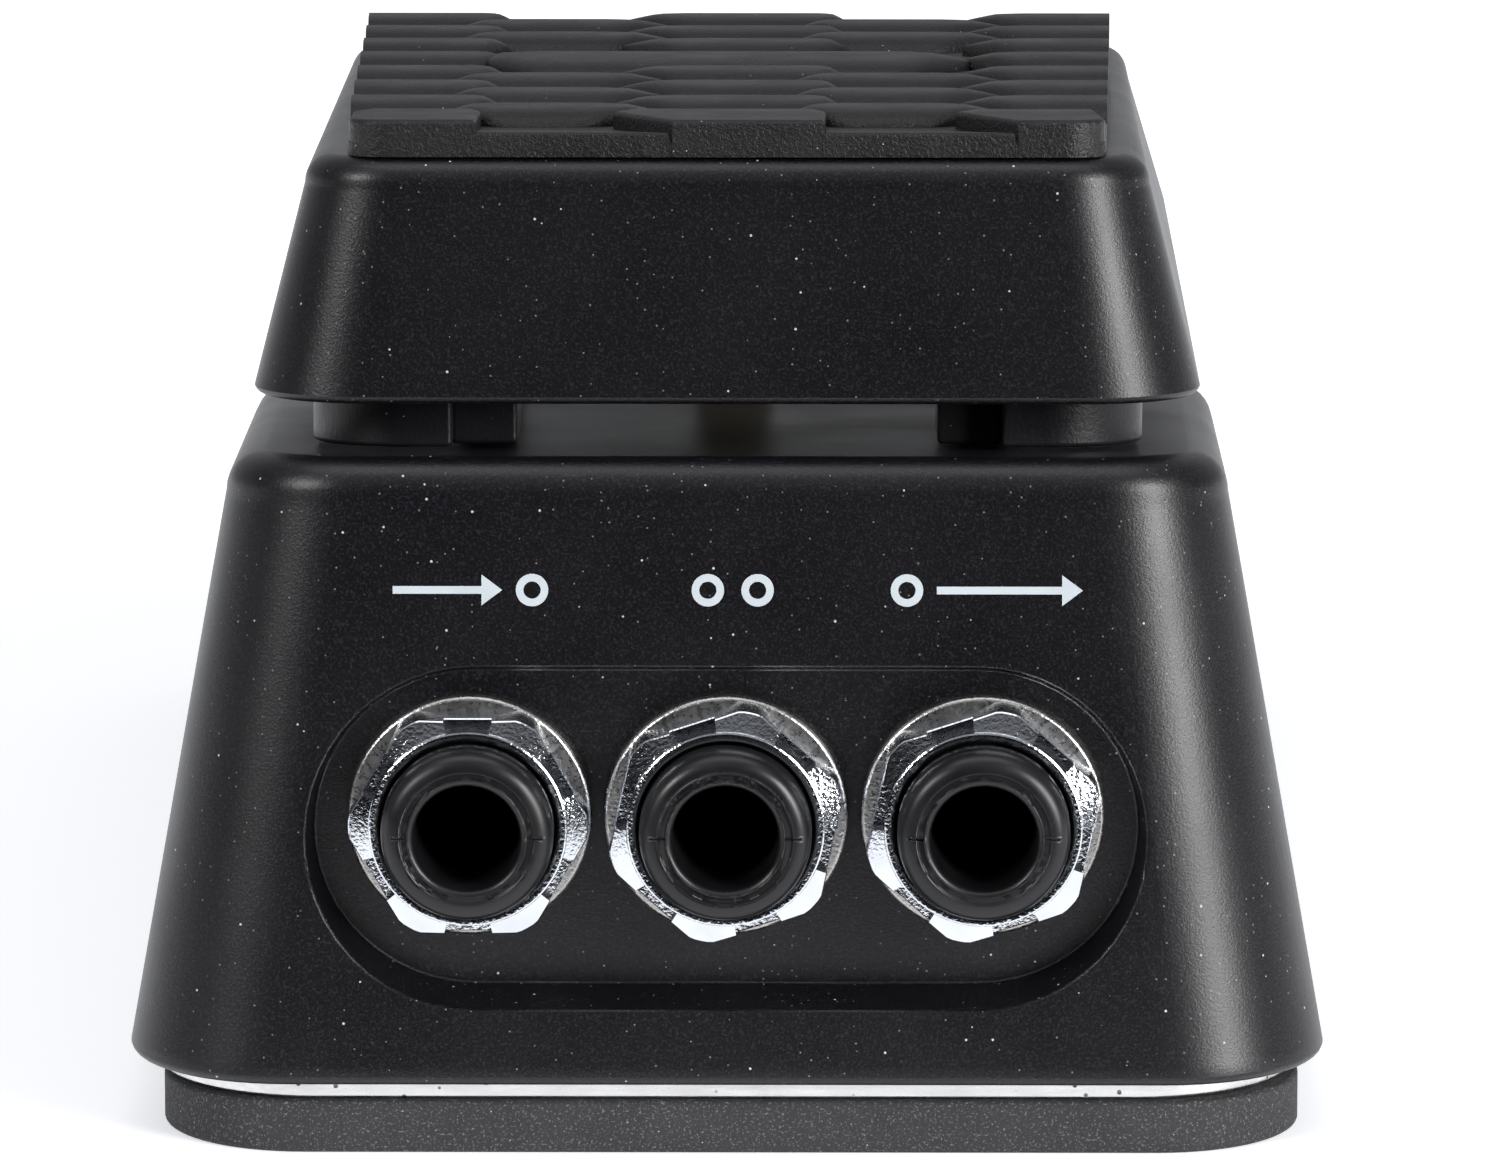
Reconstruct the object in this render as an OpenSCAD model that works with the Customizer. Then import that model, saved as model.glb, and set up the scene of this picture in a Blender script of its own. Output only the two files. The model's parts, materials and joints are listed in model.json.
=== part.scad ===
// Mini rocker volume pedal: a wedge shaped casting with three 6.35 mm jacks at the toe end,
// and a rocker on a through axle that turns a potentiometer by a thin steel band.
// Millimetres. The origin is under the middle of the rubber mat, +Z is up, the toe end is at -Y.

/* [Chassis] */
// Width of the chassis at its bottom edge
chassis_w = 73; // [72:0.5:75]
// Length of the chassis at its bottom edge
chassis_l = 140; // [139:0.5:142]
// Wall thickness of the casting
wall = 2.5; // [2.3:0.1:2.7]
// Draft angle of the four outer walls
draft = 9.9; // [9.7:0.1:10]
// Height of the chassis top under the rocker's pivot
pivot_top_z = 35; // [34.5:0.1:35.3]
// Slope of the top from the pivot up to the toe
toe_slope = 6.2; // [6:0.1:6.4]
// Slope of the top from the pivot down to the heel
heel_slope = 13.5; // [13:0.5:14]
// Plan radius of the corners at the bottom edge
corner_r = 10; // [9:0.5:11]
// Plan radius of the corners at the top edge
top_corner_r = 8; // [7:0.5:9]
// Round on the top edge
top_round = 2.5; // [2:0.1:2.5]

/* [Underside] */
// Thickness of the rubber mat
mat_t = 3.3; // [3:0.1:3.5]
// Thickness of the bottom plate
plate_t = 1.2; // [1:0.1:1.5]
// How far the mat and the plate stand in from the chassis edge
mat_inset = 1.5; // [1:0.1:2]
// Plan radius of the mat's corners
mat_corner_r = 8.9; // [8:0.1:10]

/* [Jacks] */
// Distance between neighbouring jacks
jack_pitch = 15.5; // [15.4:0.1:15.8]
// Height of the jack axes
jack_z = 20.4; // [20.2:0.1:20.6]
// Diameter of the hole for the plug
plug_d = 6.4; // [6.4:0.05:6.6]
// Outer diameter of the threaded nose
nose_d = 10.4; // [10.3:0.1:10.5]
// Depth of the plug hole from the front of the nose
plug_depth = 31.5; // [31:0.5:32]
// Nut size across its flats
nut_af = 12.7; // [12.6:0.1:12.9]
// Thickness of the nut
nut_t = 2.7; // [2.5:0.1:2.9]
// Thickness of the washer
washer_t = 1; // [0.8:0.1:1]
// Turn of each nut from notch up
nut_turns = [0, 18, 18]; // [0:1:60]
// Length of the stadium recess
recess_l = 50.7; // [50.2:0.1:51.5]
// Height of the stadium recess
recess_h = 20.3; // [20:0.1:20.6]

/* [Rocker] */
// Width of the skirt edge at the toe
rocker_toe_w = 57.5; // [57.4:0.1:58]
// Width of the skirt edge at the heel
rocker_heel_w = 60.5; // [60.4:0.1:61.5]
// Height of the skirt edge at the toe
rocker_toe_z = 44.9; // [44.8:0.1:45.1]
// Slope of the skirt edge down towards the heel
skirt_slope = 3.5; // [3.3:0.1:3.6]
// Height of the shoulder at the toe
shoulder_z = 59.6; // [59.5:0.1:60]
// Slope of the rocker's top down towards the heel
top_slope = 5.25; // [5.1:0.05:5.3]
// Wall thickness of the rocker casting
rocker_wall = 2; // [1.8:0.1:2]
// Thickness of the tread's sheet
tread_base_t = 1.2; // [1:0.1:1.4]
// Height of the tread's ribs above the sheet
rib_h = 1.4; // [1.2:0.1:1.5]

/* [Drive] */
// Height of the pivot axis
pivot_z = 44.5; // [44.4:0.1:44.6]
// Tilt of the rocker from toe down to heel down, in degrees
tilt_range = 12; // [11:0.5:12]
// Diameter of the axle
axle_d = 6; // [5.8:0.1:6]
// Radius that the drive band follows on the sector
sector_r = 26; // [25.6:0.1:26]
// Radius of the drive pulley
pulley_r = 4; // [3.9:0.1:4]
// Thickness of the drive band
band_t = 0.2; // [0.1:0.05:0.2]

/* [Hidden] */
$fn = 64;
hull_fn = 32;
cut = 0.5;
thin = 0.05;
sides = [-1, 1];

// Chassis
floor_z = mat_t + plate_t;
recess_z = jack_z - 0.8;
recess_floor_y = -65.2;
panel_t = 2.4;
panel_back_y = recess_floor_y + panel_t;
pad_margin = 2.2;
panel_hole_r = nose_d / 2 + 0.25;
washer_r = 7.4;
post_r = 3.5;
posts = [[27.2, -53], [27.2, 55]];
window_x = 6;
window_y = 10;

// Pivot
axle_r = axle_d / 2;
lug_x = [14, 18];
lug_r = 5.5;
ear_x = [19, 23];
ear_r = 6;
bushing_r = 4.5;
bushing_flange_r = 5.5;
bushing_flange_t = 0.8;
running_gap = 0.05;
clip_x = [23.9, 24.7];
groove_r = 2.5;
clip_r = 4.5;
clip_mid = (clip_x[0] + clip_x[1]) / 2;
axle_half_l = 25.6;

// Rocker
rocker_toe_y = -62;
rocker_heel_y = 60;
shoulder_toe_y = -59.8;
shoulder_heel_y = 58;
shoulder_toe_w = 51.2;
shoulder_heel_w = 55;
skirt_corner_r = 7;
shoulder_corner_r = 5.5;
shoulder_round = 1.8;
roof_t = 2.5;
pad_z = 50.5;
pad_x = 9;
pad_y = 8;

// Tread: each column of ribs is its middle and its half length at the toe
tread_y = [1, 116];
tread_half_w = [22.9, 26.3];
tread_rows = 8;
rib_y = 7.4;
rib_columns = [[-19, 3.7], [-10.2, 4.4], [0, 6.1], [10.2, 4.4], [19, 3.7]];

// Bumpers
bumper_rest_gap = 0.2;
bumper_x = [16.7, 25.4];
bumper_corner_r = 6;
toe_bumper_y = [-58, -47];
heel_bumper_y = [45, 56];
bumper_top_z = [49.5, 41];
bumper_boss_r = 4;
bumper_screw_xy = [[21.4, -52.5], [21.4, 50.5]];
bumper_seat_z = [45.5, 38.5];

// Drive
sector_half_t = 2.5;
sector_from = -14;
sector_to = 26;
flange_t = 1.6;
drive_gap = 0.5;
pot_z = pivot_z - sector_r - pulley_r - drive_gap;
band_half_w = 2;
sector_screw_x = 6;
sector_screw_y = 4.5;
pulley_x = [-8, 3];
hub_x = -3.2;
hub_r = 5;
shaft_r = 3;
shaft_x = [-9, 14.5];
pot_x = [8, 16];
pot_r = 8;
bushing_thread_r = 3.5;
bracket_x = 6.5;
bracket_t = 1.5;
bracket_y = 9;
bracket_z = [6, 30.5];
bracket_foot_x = 19;
bracket_screw_x = 14;
bracket_screw_y = 5.5;
shoe_z = 26;
shoe_x = [-5, -2.6];
shoe_r = 4;
tension_boss_x = [-15, -9];
tension_boss_y = 4.5;
tension_boss_z = 22;
tension_r = 1.95;
tension_head_x = [-20.5, -18];

// Circuit board
board_x = 23.4;
board_y = [-62.6, -30];
board_z = [9.4, 11];
jack_half_w = 7.4;
jack_half_h = 9.4;
jack_back_y = panel_back_y + 25;
nose_front_y = -72.4;
spring_w = 2.6;
spring_t = 0.5;
switch_x = [-20, -11.4];
switch_y = [-36, -32.4];
switch_top_z = 14.6;
slot_depth = 1.6;
slot_x = [-18, -13.4];
slider_w = 1.8;
slider_half_y = 0.8;
connector_x = [5, 12.7];
connector_y = [-34.5, -31];
connector_z = 17;
lead_pitch = 2.5;
lead_r = 0.55;
terminal_x = [8.6, 9.1];
terminal_end_y = -16;
lead_start_x = 8.85;
lead_z = 14;

// Half width of the chassis outside at a height
function half_w(z) = chassis_w / 2 - (z - floor_z) * tan(draft);
// Half length of the chassis outside at a height
function half_l(z) = chassis_l / 2 - (z - floor_z) * tan(draft);
// Height of the chassis top at a place along the pedal
function top_z(y) = pivot_top_z - y * tan(y < 0 ? toe_slope : heel_slope);
// Height of the rocker's skirt edge at a place along the pedal
function skirt_z(y) = rocker_toe_z - (y - rocker_toe_y) * tan(skirt_slope);
// Height of the rocker's shoulder at a place along the pedal
function roof_z(y) = shoulder_z - (y - shoulder_toe_y) * tan(top_slope);

// A box from its two corners
module box(a, b) {
    translate(a)
        cube(b - a);
}

// A cylinder along X between two x values
module rod_x(x0, x1, r, y, z) {
    translate([x0, y, z])
        rotate([0, 90, 0])
            cylinder(r = r, h = x1 - x0);
}

// A cylinder along Y between two y values
module rod_y(y0, y1, r, x, z) {
    translate([x, y0, z])
        rotate([-90, 0, 0])
            cylinder(r = r, h = y1 - y0);
}

// A flat rectangle with true round corners
module rounded_rect(w, l, r) {
    square([w - 2 * r, l], center = true);
    square([w, l - 2 * r], center = true);
    for (sx = sides, sy = sides)
        translate([sx * (w / 2 - r), sy * (l / 2 - r)])
            circle(r);
}

// A flat shape with two straight sides and round ends
module stadium(l, h) {
    square([l - h, h], center = true);
    for (s = sides)
        translate([s * (l - h) / 2, 0])
            circle(h / 2);
}

// A disc with a rounded rim, whose top face is at z = 0
module rim_disc(r, rim) {
    translate([0, 0, -rim])
        rotate_extrude($fn = hull_fn)
            translate([r - rim, 0])
                circle(rim, $fn = hull_fn);
}

// The drafted wedge of the chassis: inset 0 is its outside, and the wall thickness is its hollow
module wedge(inset, low_z) {
    side_inset = inset / cos(draft);
    rim = max(top_round - inset, 0.4);
    drop = inset;
    toe_r = top_corner_r - inset;
    toe_reach = (toe_r - rim) * cos(toe_slope) + rim;
    heel_reach = (toe_r - rim) * cos(heel_slope) + rim;
    toe_side_z = top_z(-half_l(40)) - rim - drop;
    heel_side_z = top_z(half_l(20)) - rim - drop;
    toe_y = -(half_l(toe_side_z) - side_inset - toe_reach);
    heel_y = half_l(heel_side_z) - side_inset - heel_reach;
    mid_z = pivot_top_z - rim - drop;
    hull()
        for (s = sides) {
            for (sy = sides)
                translate([s * (half_w(low_z) - corner_r), sy * (half_l(low_z) - corner_r), low_z])
                    cylinder(r = corner_r - side_inset, h = thin, $fn = hull_fn);
            translate([s * (half_w(toe_side_z) - side_inset - toe_r), toe_y, top_z(toe_y) - drop])
                rotate([-toe_slope, 0, 0])
                    rim_disc(toe_r, rim);
            translate([s * (half_w(heel_side_z) - side_inset - toe_r), heel_y, top_z(heel_y) - drop])
                rotate([-heel_slope, 0, 0])
                    rim_disc(toe_r, rim);
            translate([s * (half_w(mid_z) - side_inset - rim), 0, mid_z])
                sphere(r = rim, $fn = hull_fn);
        }
}

// The rocker's outer form, or its hollow when inset is the wall thickness
module rocker_form(inset, roof, low) {
    r = skirt_corner_r - inset;
    rs = shoulder_corner_r - inset;
    rim = max(shoulder_round - inset, 0.4);
    hull()
        for (s = sides) {
            translate([s * (rocker_toe_w / 2 - skirt_corner_r), rocker_toe_y + skirt_corner_r,
                       skirt_z(rocker_toe_y + skirt_corner_r) - low])
                rotate([-skirt_slope, 0, 0])
                    cylinder(r = r, h = thin, $fn = hull_fn);
            translate([s * (rocker_heel_w / 2 - skirt_corner_r), rocker_heel_y - skirt_corner_r,
                       skirt_z(rocker_heel_y - skirt_corner_r) - low])
                rotate([-skirt_slope, 0, 0])
                    cylinder(r = r, h = thin, $fn = hull_fn);
            translate([s * (shoulder_toe_w / 2 - shoulder_corner_r), shoulder_toe_y + shoulder_corner_r,
                       roof_z(shoulder_toe_y + shoulder_corner_r) - roof])
                rotate([-top_slope, 0, 0])
                    rim_disc(rs, rim);
            translate([s * (shoulder_heel_w / 2 - shoulder_corner_r), shoulder_heel_y - shoulder_corner_r,
                       roof_z(shoulder_heel_y - shoulder_corner_r) - roof])
                rotate([-top_slope, 0, 0])
                    rim_disc(rs, rim);
        }
}

// The stadium pad that carries the jacks, from the front of the wall to its back face
module jack_pad() {
    translate([0, panel_back_y, recess_z])
        rotate([90, 0, 0])
            linear_extrude(10)
                stadium(recess_l + 2 * pad_margin, recess_h + 2 * pad_margin);
}

// What the casting keeps inside its hollow: screw posts, bracket bosses and the tension boss
module chassis_bosses() {
    for (s = sides, p = posts)
        translate([s * p[0], p[1], floor_z])
            cylinder(r = post_r, h = 40);
    for (s = sides)
        translate([bracket_screw_x, s * bracket_screw_y, bracket_z[1]])
            cylinder(r = post_r, h = 10);
    box([tension_boss_x[0], -tension_boss_y, tension_boss_z], [tension_boss_x[1], tension_boss_y, 40]);
}

module chassis_shell() {
    color("#1c1c20")
        difference() {
            union() {
                difference() {
                    wedge(0, floor_z);
                    difference() {
                        wedge(wall, floor_z - thin);
                        jack_pad();
                        chassis_bosses();
                    }
                }
                for (s = sides)
                    pivot_lug(s);
            }
            translate([0, recess_floor_y, recess_z])
                rotate([90, 0, 0])
                    linear_extrude(10)
                        stadium(recess_l, recess_h);
            for (i = [-1:1])
                rod_y(recess_floor_y - cut, panel_back_y + cut, panel_hole_r, i * jack_pitch, jack_z);
            box([-window_x, -window_y, pivot_top_z - 8], [window_x, window_y, pivot_top_z + 5]);
            rod_x(-lug_x[1] - cut, lug_x[1] + cut, axle_r + 0.02, 0, pivot_z);
            for (s = sides, p = posts)
                translate([s * p[0], p[1], floor_z - cut])
                    cylinder(r = 1.5, h = 10.5);
            for (s = sides)
                translate([bracket_screw_x, s * bracket_screw_y, bracket_z[1] - cut])
                    cylinder(r = 1.5, h = 3.8);
            rod_x(tension_boss_x[0] - cut, tension_boss_x[1] + cut, tension_r + running_gap, 0, shoe_z);
        }
}

// One of the two lugs on the chassis top that hold the axle
module pivot_lug(s) {
    x0 = s > 0 ? lug_x[0] : -lug_x[1];
    x1 = s > 0 ? lug_x[1] : -lug_x[0];
    rod_x(x0, x1, lug_r, 0, pivot_z);
    box([x0, -lug_r, pivot_top_z - 1.8], [x1, lug_r, pivot_z]);
}

module bottom_plate() {
    color("#c9c9c4")
        difference() {
            translate([0, 0, mat_t])
                linear_extrude(plate_t)
                    rounded_rect(chassis_w - 2 * mat_inset, chassis_l - 2 * mat_inset, mat_corner_r);
            for (s = sides, p = posts)
                translate([s * p[0], p[1], 0])
                    cylinder(r = 1.6, h = 10);
        }
}

module rubber_mat() {
    color("#2a2b2d")
        difference() {
            linear_extrude(mat_t)
                rounded_rect(chassis_w - 2 * mat_inset, chassis_l - 2 * mat_inset, mat_corner_r);
            for (s = sides, p = posts)
                translate([s * p[0], p[1], -cut])
                    cylinder(r = 4, h = 10);
        }
}

module bottom_screws() {
    color("#8b8b8e")
        for (s = sides, p = posts)
            translate([s * p[0], p[1], 0])
                difference() {
                    union() {
                        translate([0, 0, 0.9])
                            cylinder(r = 2.8, h = mat_t - 0.9);
                        translate([0, 0, mat_t])
                            cylinder(r = 1.45, h = 11);
                    }
                    cylinder(r = 1.3, h = 2, $fn = 6);
                }
}

// A jack body on its axis: the threaded nose, the housing and the plug hole
module jack(i) {
    x = i * jack_pitch;
    color("#17171a")
        difference() {
            union() {
                rod_y(nose_front_y, panel_back_y + cut, nose_d / 2, x, jack_z);
                box([x - jack_half_w, panel_back_y, jack_z - jack_half_h],
                    [x + jack_half_w, jack_back_y, jack_z + jack_half_h]);
            }
            rod_y(nose_front_y - cut, nose_front_y + plug_depth, plug_d / 2, x, jack_z);
            box([x - spring_w / 2 - 0.2, -53, jack_z + 2], [x + spring_w / 2 + 0.2, -44, jack_z + 10]);
        }
}

// The tip spring of a jack: it dips to the plug, runs back over the housing and down to the board
module contacts(i) {
    top = jack_z + jack_half_h;
    color("#b58b4a")
        translate([i * jack_pitch + spring_w / 2, 0, 0])
            rotate([90, 0, -90])
                linear_extrude(spring_w)
                    polygon([[52.5, top - 0.1], [48.8, jack_z + 3.8], [47.9, jack_z + 3.8],
                             [45.2, jack_z + 6.2], [44.8, jack_z + 5.8], [47.7, jack_z + 3.3],
                             [49.1, jack_z + 3.3], [52.9, top - 0.2], [52.9, top + spring_t],
                             [-jack_back_y - spring_t, top + spring_t],
                             [-jack_back_y - spring_t, board_z[0] - 0.8],
                             [-jack_back_y, board_z[0] - 0.8], [-jack_back_y, top], [52.5, top]]);
}

module jack_washer(i) {
    color("#d6d8dc")
        difference() {
            rod_y(recess_floor_y - washer_t, recess_floor_y, washer_r, i * jack_pitch, jack_z);
            rod_y(recess_floor_y - 5, recess_floor_y + 5, nose_d / 2 + 0.1, i * jack_pitch, jack_z);
        }
}

// A hex nut with a crowned front and a notch in the middle of each flat
module jack_nut(i) {
    back_y = recess_floor_y - washer_t;
    corner_reach = nut_af / sqrt(3);
    color("#dfe2e6")
        translate([i * jack_pitch, back_y, jack_z])
            rotate([90, 0, 0])
                rotate(nut_turns[i + 1])
                    difference() {
                        intersection() {
                            cylinder(r = corner_reach, h = nut_t, $fn = 6);
                            cylinder(r1 = corner_reach + 1.2, r2 = nut_af / 2 + 0.1, h = nut_t + 0.3);
                        }
                        translate([0, 0, -cut])
                            cylinder(r = nose_d / 2 + running_gap, h = 10);
                        for (a = [30:60:330])
                            rotate(a)
                                translate([nut_af / 2 - 0.75, -1.4, nut_t - 1.3])
                                    cube([3, 2.8, 3]);
                    }
}

module circuit_board() {
    slot = spring_t / 2 + 0.1;
    color("#1f5a3c")
        difference() {
            box([-board_x, board_y[0], board_z[0]], [board_x, board_y[1], board_z[1]]);
            for (i = [-1:1])
                box([i * jack_pitch - 1.5, jack_back_y - 0.1, 5], [i * jack_pitch + 1.5, jack_back_y + 2 * slot, 20]);
        }
}

module board_components() {
    color("#3a6ea5") {
        for (k = [0:1])
            rod_x(15, 21, 1.1, board_y[1] - 2 - 3 * k, board_z[1] + 1.1);
        translate([0, -34.5, board_z[1]])
            cylinder(r = 2.5, h = 5.5);
        box([-8.5, -35.5, board_z[1]], [-3.5, -32, board_z[1] + 1.5]);
    }
}

module lead_connector() {
    color("#e8e4d6")
        difference() {
            box([connector_x[0], connector_y[0], board_z[1]], [connector_x[1], connector_y[1], connector_z]);
            for (k = [-1:1])
                rod_y(connector_y[1] - 2, connector_y[1] + cut, 0.7, lead_x(k), lead_z);
        }
}

// Where each lead meets the connector
function lead_x(k) = (connector_x[0] + connector_x[1]) / 2 + k * lead_pitch;

// A short stretch of round wire between two points
module wire(a, b) {
    hull()
        for (p = [a, b])
            translate(p)
                rotate([90, 0, 0])
                    cylinder(r = lead_r, h = thin, center = true, $fn = 10);
}

// One lead for each terminal, bent twice on its way to the connector
module pot_leads() {
    color("#a33a2c")
        for (k = [-1:1]) {
            route = [[lead_start_x, terminal_end_y - thin, pot_z + k * lead_pitch],
                     [lead_start_x, terminal_end_y - 2, pot_z + k * lead_pitch],
                     [lead_x(k), connector_y[1] + 3, lead_z],
                     [lead_x(k), connector_y[1] - 1.5, lead_z]];
            for (i = [0:len(route) - 2])
                wire(route[i], route[i + 1]);
        }
}

module mode_switch_body() {
    mid_y = (switch_y[0] + switch_y[1]) / 2;
    color("#c8c9cc")
        difference() {
            box([switch_x[0], switch_y[0], board_z[1]], [switch_x[1], switch_y[1], switch_top_z]);
            box([slot_x[0], mid_y - 1, switch_top_z - slot_depth], [slot_x[1], mid_y + 1, switch_top_z + 1]);
        }
}

module mode_slider() {
    mid_y = (switch_y[0] + switch_y[1]) / 2;
    color("#111114")
        box([slot_x[0] + 0.4, mid_y - slider_half_y, switch_top_z - slot_depth + 0.2],
            [slot_x[0] + 0.4 + slider_w, mid_y + slider_half_y, switch_top_z + 2]);
}

module pot_bracket() {
    color("#b9babd")
        difference() {
            union() {
                box([bracket_x, -bracket_y, bracket_z[0]], [bracket_x + bracket_t, bracket_y, bracket_z[1]]);
                box([bracket_x, -bracket_y, bracket_z[1] - bracket_t], [bracket_foot_x, bracket_y, bracket_z[1]]);
            }
            rod_x(bracket_x - cut, bracket_x + bracket_t + cut, bushing_thread_r + 0.05, 0, pot_z);
            for (s = sides)
                translate([bracket_screw_x, s * bracket_screw_y, bracket_z[1] - 5])
                    cylinder(r = 1.6, h = 10);
        }
}

module bracket_screws() {
    color("#8b8b8e")
        for (s = sides)
            translate([bracket_screw_x, s * bracket_screw_y, bracket_z[1] - bracket_t])
                difference() {
                    union() {
                        translate([0, 0, -2])
                            cylinder(r = 2.7, h = 2);
                        cylinder(r = 1.45, h = 4.6);
                    }
                    translate([0, 0, -2.5])
                        cylinder(r = 1.3, h = 1.6, $fn = 6);
                }
}

module pot_body() {
    color("#9a9da1")
        difference() {
            union() {
                rod_x(pot_x[0], pot_x[1], pot_r, 0, pot_z);
                rod_x(3.8, pot_x[0] + cut, bushing_thread_r, 0, pot_z);
                box([pot_x[0] + 0.3, -13, pot_z - 4], [pot_x[0] + 1.5, -5, pot_z + 4]);
                for (k = [-1:1])
                    box([terminal_x[0], terminal_end_y, pot_z + k * lead_pitch - 0.8],
                        [terminal_x[1], -12, pot_z + k * lead_pitch + 0.8]);
            }
            rod_x(3, shaft_x[1] + 0.3, shaft_r + running_gap, 0, pot_z);
        }
}

module pot_washer() {
    color("#d6d8dc")
        difference() {
            rod_x(bracket_x - 0.4, bracket_x, 5.5, 0, pot_z);
            rod_x(bracket_x - 1, bracket_x + 1, bushing_thread_r + 0.05, 0, pot_z);
        }
}

module pot_nut() {
    color("#d6d8dc")
        difference() {
            translate([bracket_x - 2.4, 0, pot_z])
                rotate([0, 90, 0])
                    cylinder(r = 5.8, h = 2, $fn = 6);
            rod_x(bracket_x - 4, bracket_x, bushing_thread_r + 0.05, 0, pot_z);
        }
}

module pivot_axle() {
    color("#b9babd")
        difference() {
            rod_x(-axle_half_l, axle_half_l, axle_r, 0, pivot_z);
            for (s = sides)
                clip_ring(s, axle_r + 1, groove_r);
        }
}

// The ring between two radii where a retaining clip sits
module clip_ring(s, outer, inner) {
    x0 = s > 0 ? clip_x[0] : -clip_x[1];
    x1 = s > 0 ? clip_x[1] : -clip_x[0];
    difference() {
        rod_x(x0, x1, outer, 0, pivot_z);
        rod_x(x0 - 1, x1 + 1, inner, 0, pivot_z);
    }
}

module axle_clips() {
    color("#3c3d40")
        for (s = sides)
            difference() {
                clip_ring(s, clip_r, groove_r);
                box([s * clip_mid - 1, -1.6, pivot_z], [s * clip_mid + 1, 1.6, pivot_z + 10]);
            }
}

module tension_screw() {
    color("#6e7074")
        difference() {
            union() {
                rod_x(tension_head_x[1], shoe_x[0], tension_r, 0, shoe_z);
                rod_x(tension_head_x[0], tension_head_x[1], 3.5, 0, shoe_z);
            }
            translate([tension_head_x[0] - cut, 0, shoe_z])
                rotate([0, 90, 0])
                    cylinder(r = 1.7, h = 2.2, $fn = 6);
        }
}

module friction_shoe() {
    color("#e6e2d2")
        rod_x(shoe_x[0], shoe_x[1], shoe_r, 0, shoe_z);
}

module pot_shaft() {
    color("#b9babd")
        difference() {
            rod_x(shaft_x[0], shaft_x[1], shaft_r, 0, pot_z);
            box([shaft_x[0] - 1, -0.5, pot_z - 5], [shaft_x[0] + 1.5, 0.5, pot_z + 5]);
            rod_up_hole(1.2);
        }
}

// The cross hole that the pulley's set screw bears in
module rod_up_hole(r) {
    translate([-5.6, 0, pot_z + shaft_r - 0.6])
        cylinder(r = r, h = 10);
}

module drive_pulley() {
    color("#c79a4b")
        difference() {
            union() {
                rod_x(hub_x, pulley_x[1], pulley_r, 0, pot_z);
                rod_x(pulley_x[0], hub_x, hub_r, 0, pot_z);
            }
            rod_x(pulley_x[0] - 1, pulley_x[1] + 1, shaft_r + 0.01, 0, pot_z);
            rod_up_hole(1.2);
        }
}

module pulley_set_screw() {
    color("#3c3d40")
        difference() {
            translate([-5.6, 0, pot_z + shaft_r - 0.5])
                cylinder(r = 1.15, h = 2.4);
            translate([-5.6, 0, pot_z + shaft_r + 0.9])
                cylinder(r = 0.6, h = 3, $fn = 6);
        }
}

module band_turn() {
    color("#c4c8cc")
        difference() {
            rod_x(-band_half_w, band_half_w, pulley_r + band_t, 0, pot_z);
            rod_x(-band_half_w - 1, band_half_w + 1, pulley_r, 0, pot_z);
        }
}

module rocker_shell() {
    color("#202024")
        difference() {
            union() {
                difference() {
                    rocker_form(0, 0, 0);
                    difference() {
                        rocker_form(rocker_wall, roof_t, 0.3);
                        rocker_bosses();
                    }
                }
                intersection() {
                    rocker_ears();
                    translate([0, 0, -20])
                        rocker_form(0, 0, 20);
                }
            }
            for (s = sides)
                rod_x(s > 0 ? ear_x[0] - cut : -ear_x[1] - cut, s > 0 ? ear_x[1] + cut : -ear_x[0] + cut,
                      bushing_r, 0, pivot_z);
            for (s = sides)
                translate([s * sector_screw_x, sector_screw_y, pad_z - cut])
                    cylinder(r = 1.3, h = 2.8);
            for (s = sides, k = [0:1])
                translate([s * bumper_screw_xy[k][0], bumper_screw_xy[k][1], bumper_top_z[k] - cut])
                    cylinder(r = 1.35, h = 5);
        }
}

// What the rocker keeps inside its hollow: the bumper bosses and the pad for the sector
module rocker_bosses() {
    for (s = sides, k = [0:1])
        translate([s * bumper_screw_xy[k][0], bumper_screw_xy[k][1], bumper_top_z[k]])
            cylinder(r = bumper_boss_r, h = 20);
    box([-pad_x, -pad_y, pad_z], [pad_x, pad_y, 70]);
}

// The two ears under the rocker's roof that turn on the axle
module rocker_ears() {
    for (s = sides) {
        x0 = s > 0 ? ear_x[0] : -ear_x[1];
        x1 = s > 0 ? ear_x[1] : -ear_x[0];
        rod_x(x0, x1, ear_r, 0, pivot_z);
        box([x0, -ear_r, pivot_z], [x1, ear_r, roof_z(0) - 1]);
    }
}

// Places something on the rocker's sloping top, with y = 0 at the toe shoulder
module on_roof() {
    translate([0, shoulder_toe_y, shoulder_z])
        rotate([-top_slope, 0, 0])
            children();
}

// How much wider the tread is at a place along it than at the toe
function tread_spread(y) = 1 + (tread_half_w[1] / tread_half_w[0] - 1) * y / tread_y[1];

// A rib's outline: a bar with a point at each end
module rib(half_l, point) {
    polygon([[-half_l, 0], [-half_l + point, -rib_y / 2], [half_l - point, -rib_y / 2],
             [half_l, 0], [half_l - point, rib_y / 2], [-half_l + point, rib_y / 2]]);
}

module tread() {
    pitch = (tread_y[1] - tread_y[0]) / tread_rows;
    color("#26272a")
        on_roof() {
            linear_extrude(tread_base_t)
                polygon([[-tread_half_w[0], tread_y[0]], [tread_half_w[0], tread_y[0]],
                         [tread_half_w[1], tread_y[1]], [-tread_half_w[1], tread_y[1]]]);
            for (row = [0:tread_rows - 1], c = [0:4]) {
                odd = c % 2;
                y = tread_y[0] + (row + (odd == 1 ? 1 : 0.5)) * pitch;
                if (odd == 0 || row < tread_rows - 1)
                    translate([rib_columns[c][0] * tread_spread(y), y, tread_base_t - 0.1])
                        linear_extrude(rib_h + 0.1)
                            rib(rib_columns[c][1] * tread_spread(y), 1.6);
            }
        }
}

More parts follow.
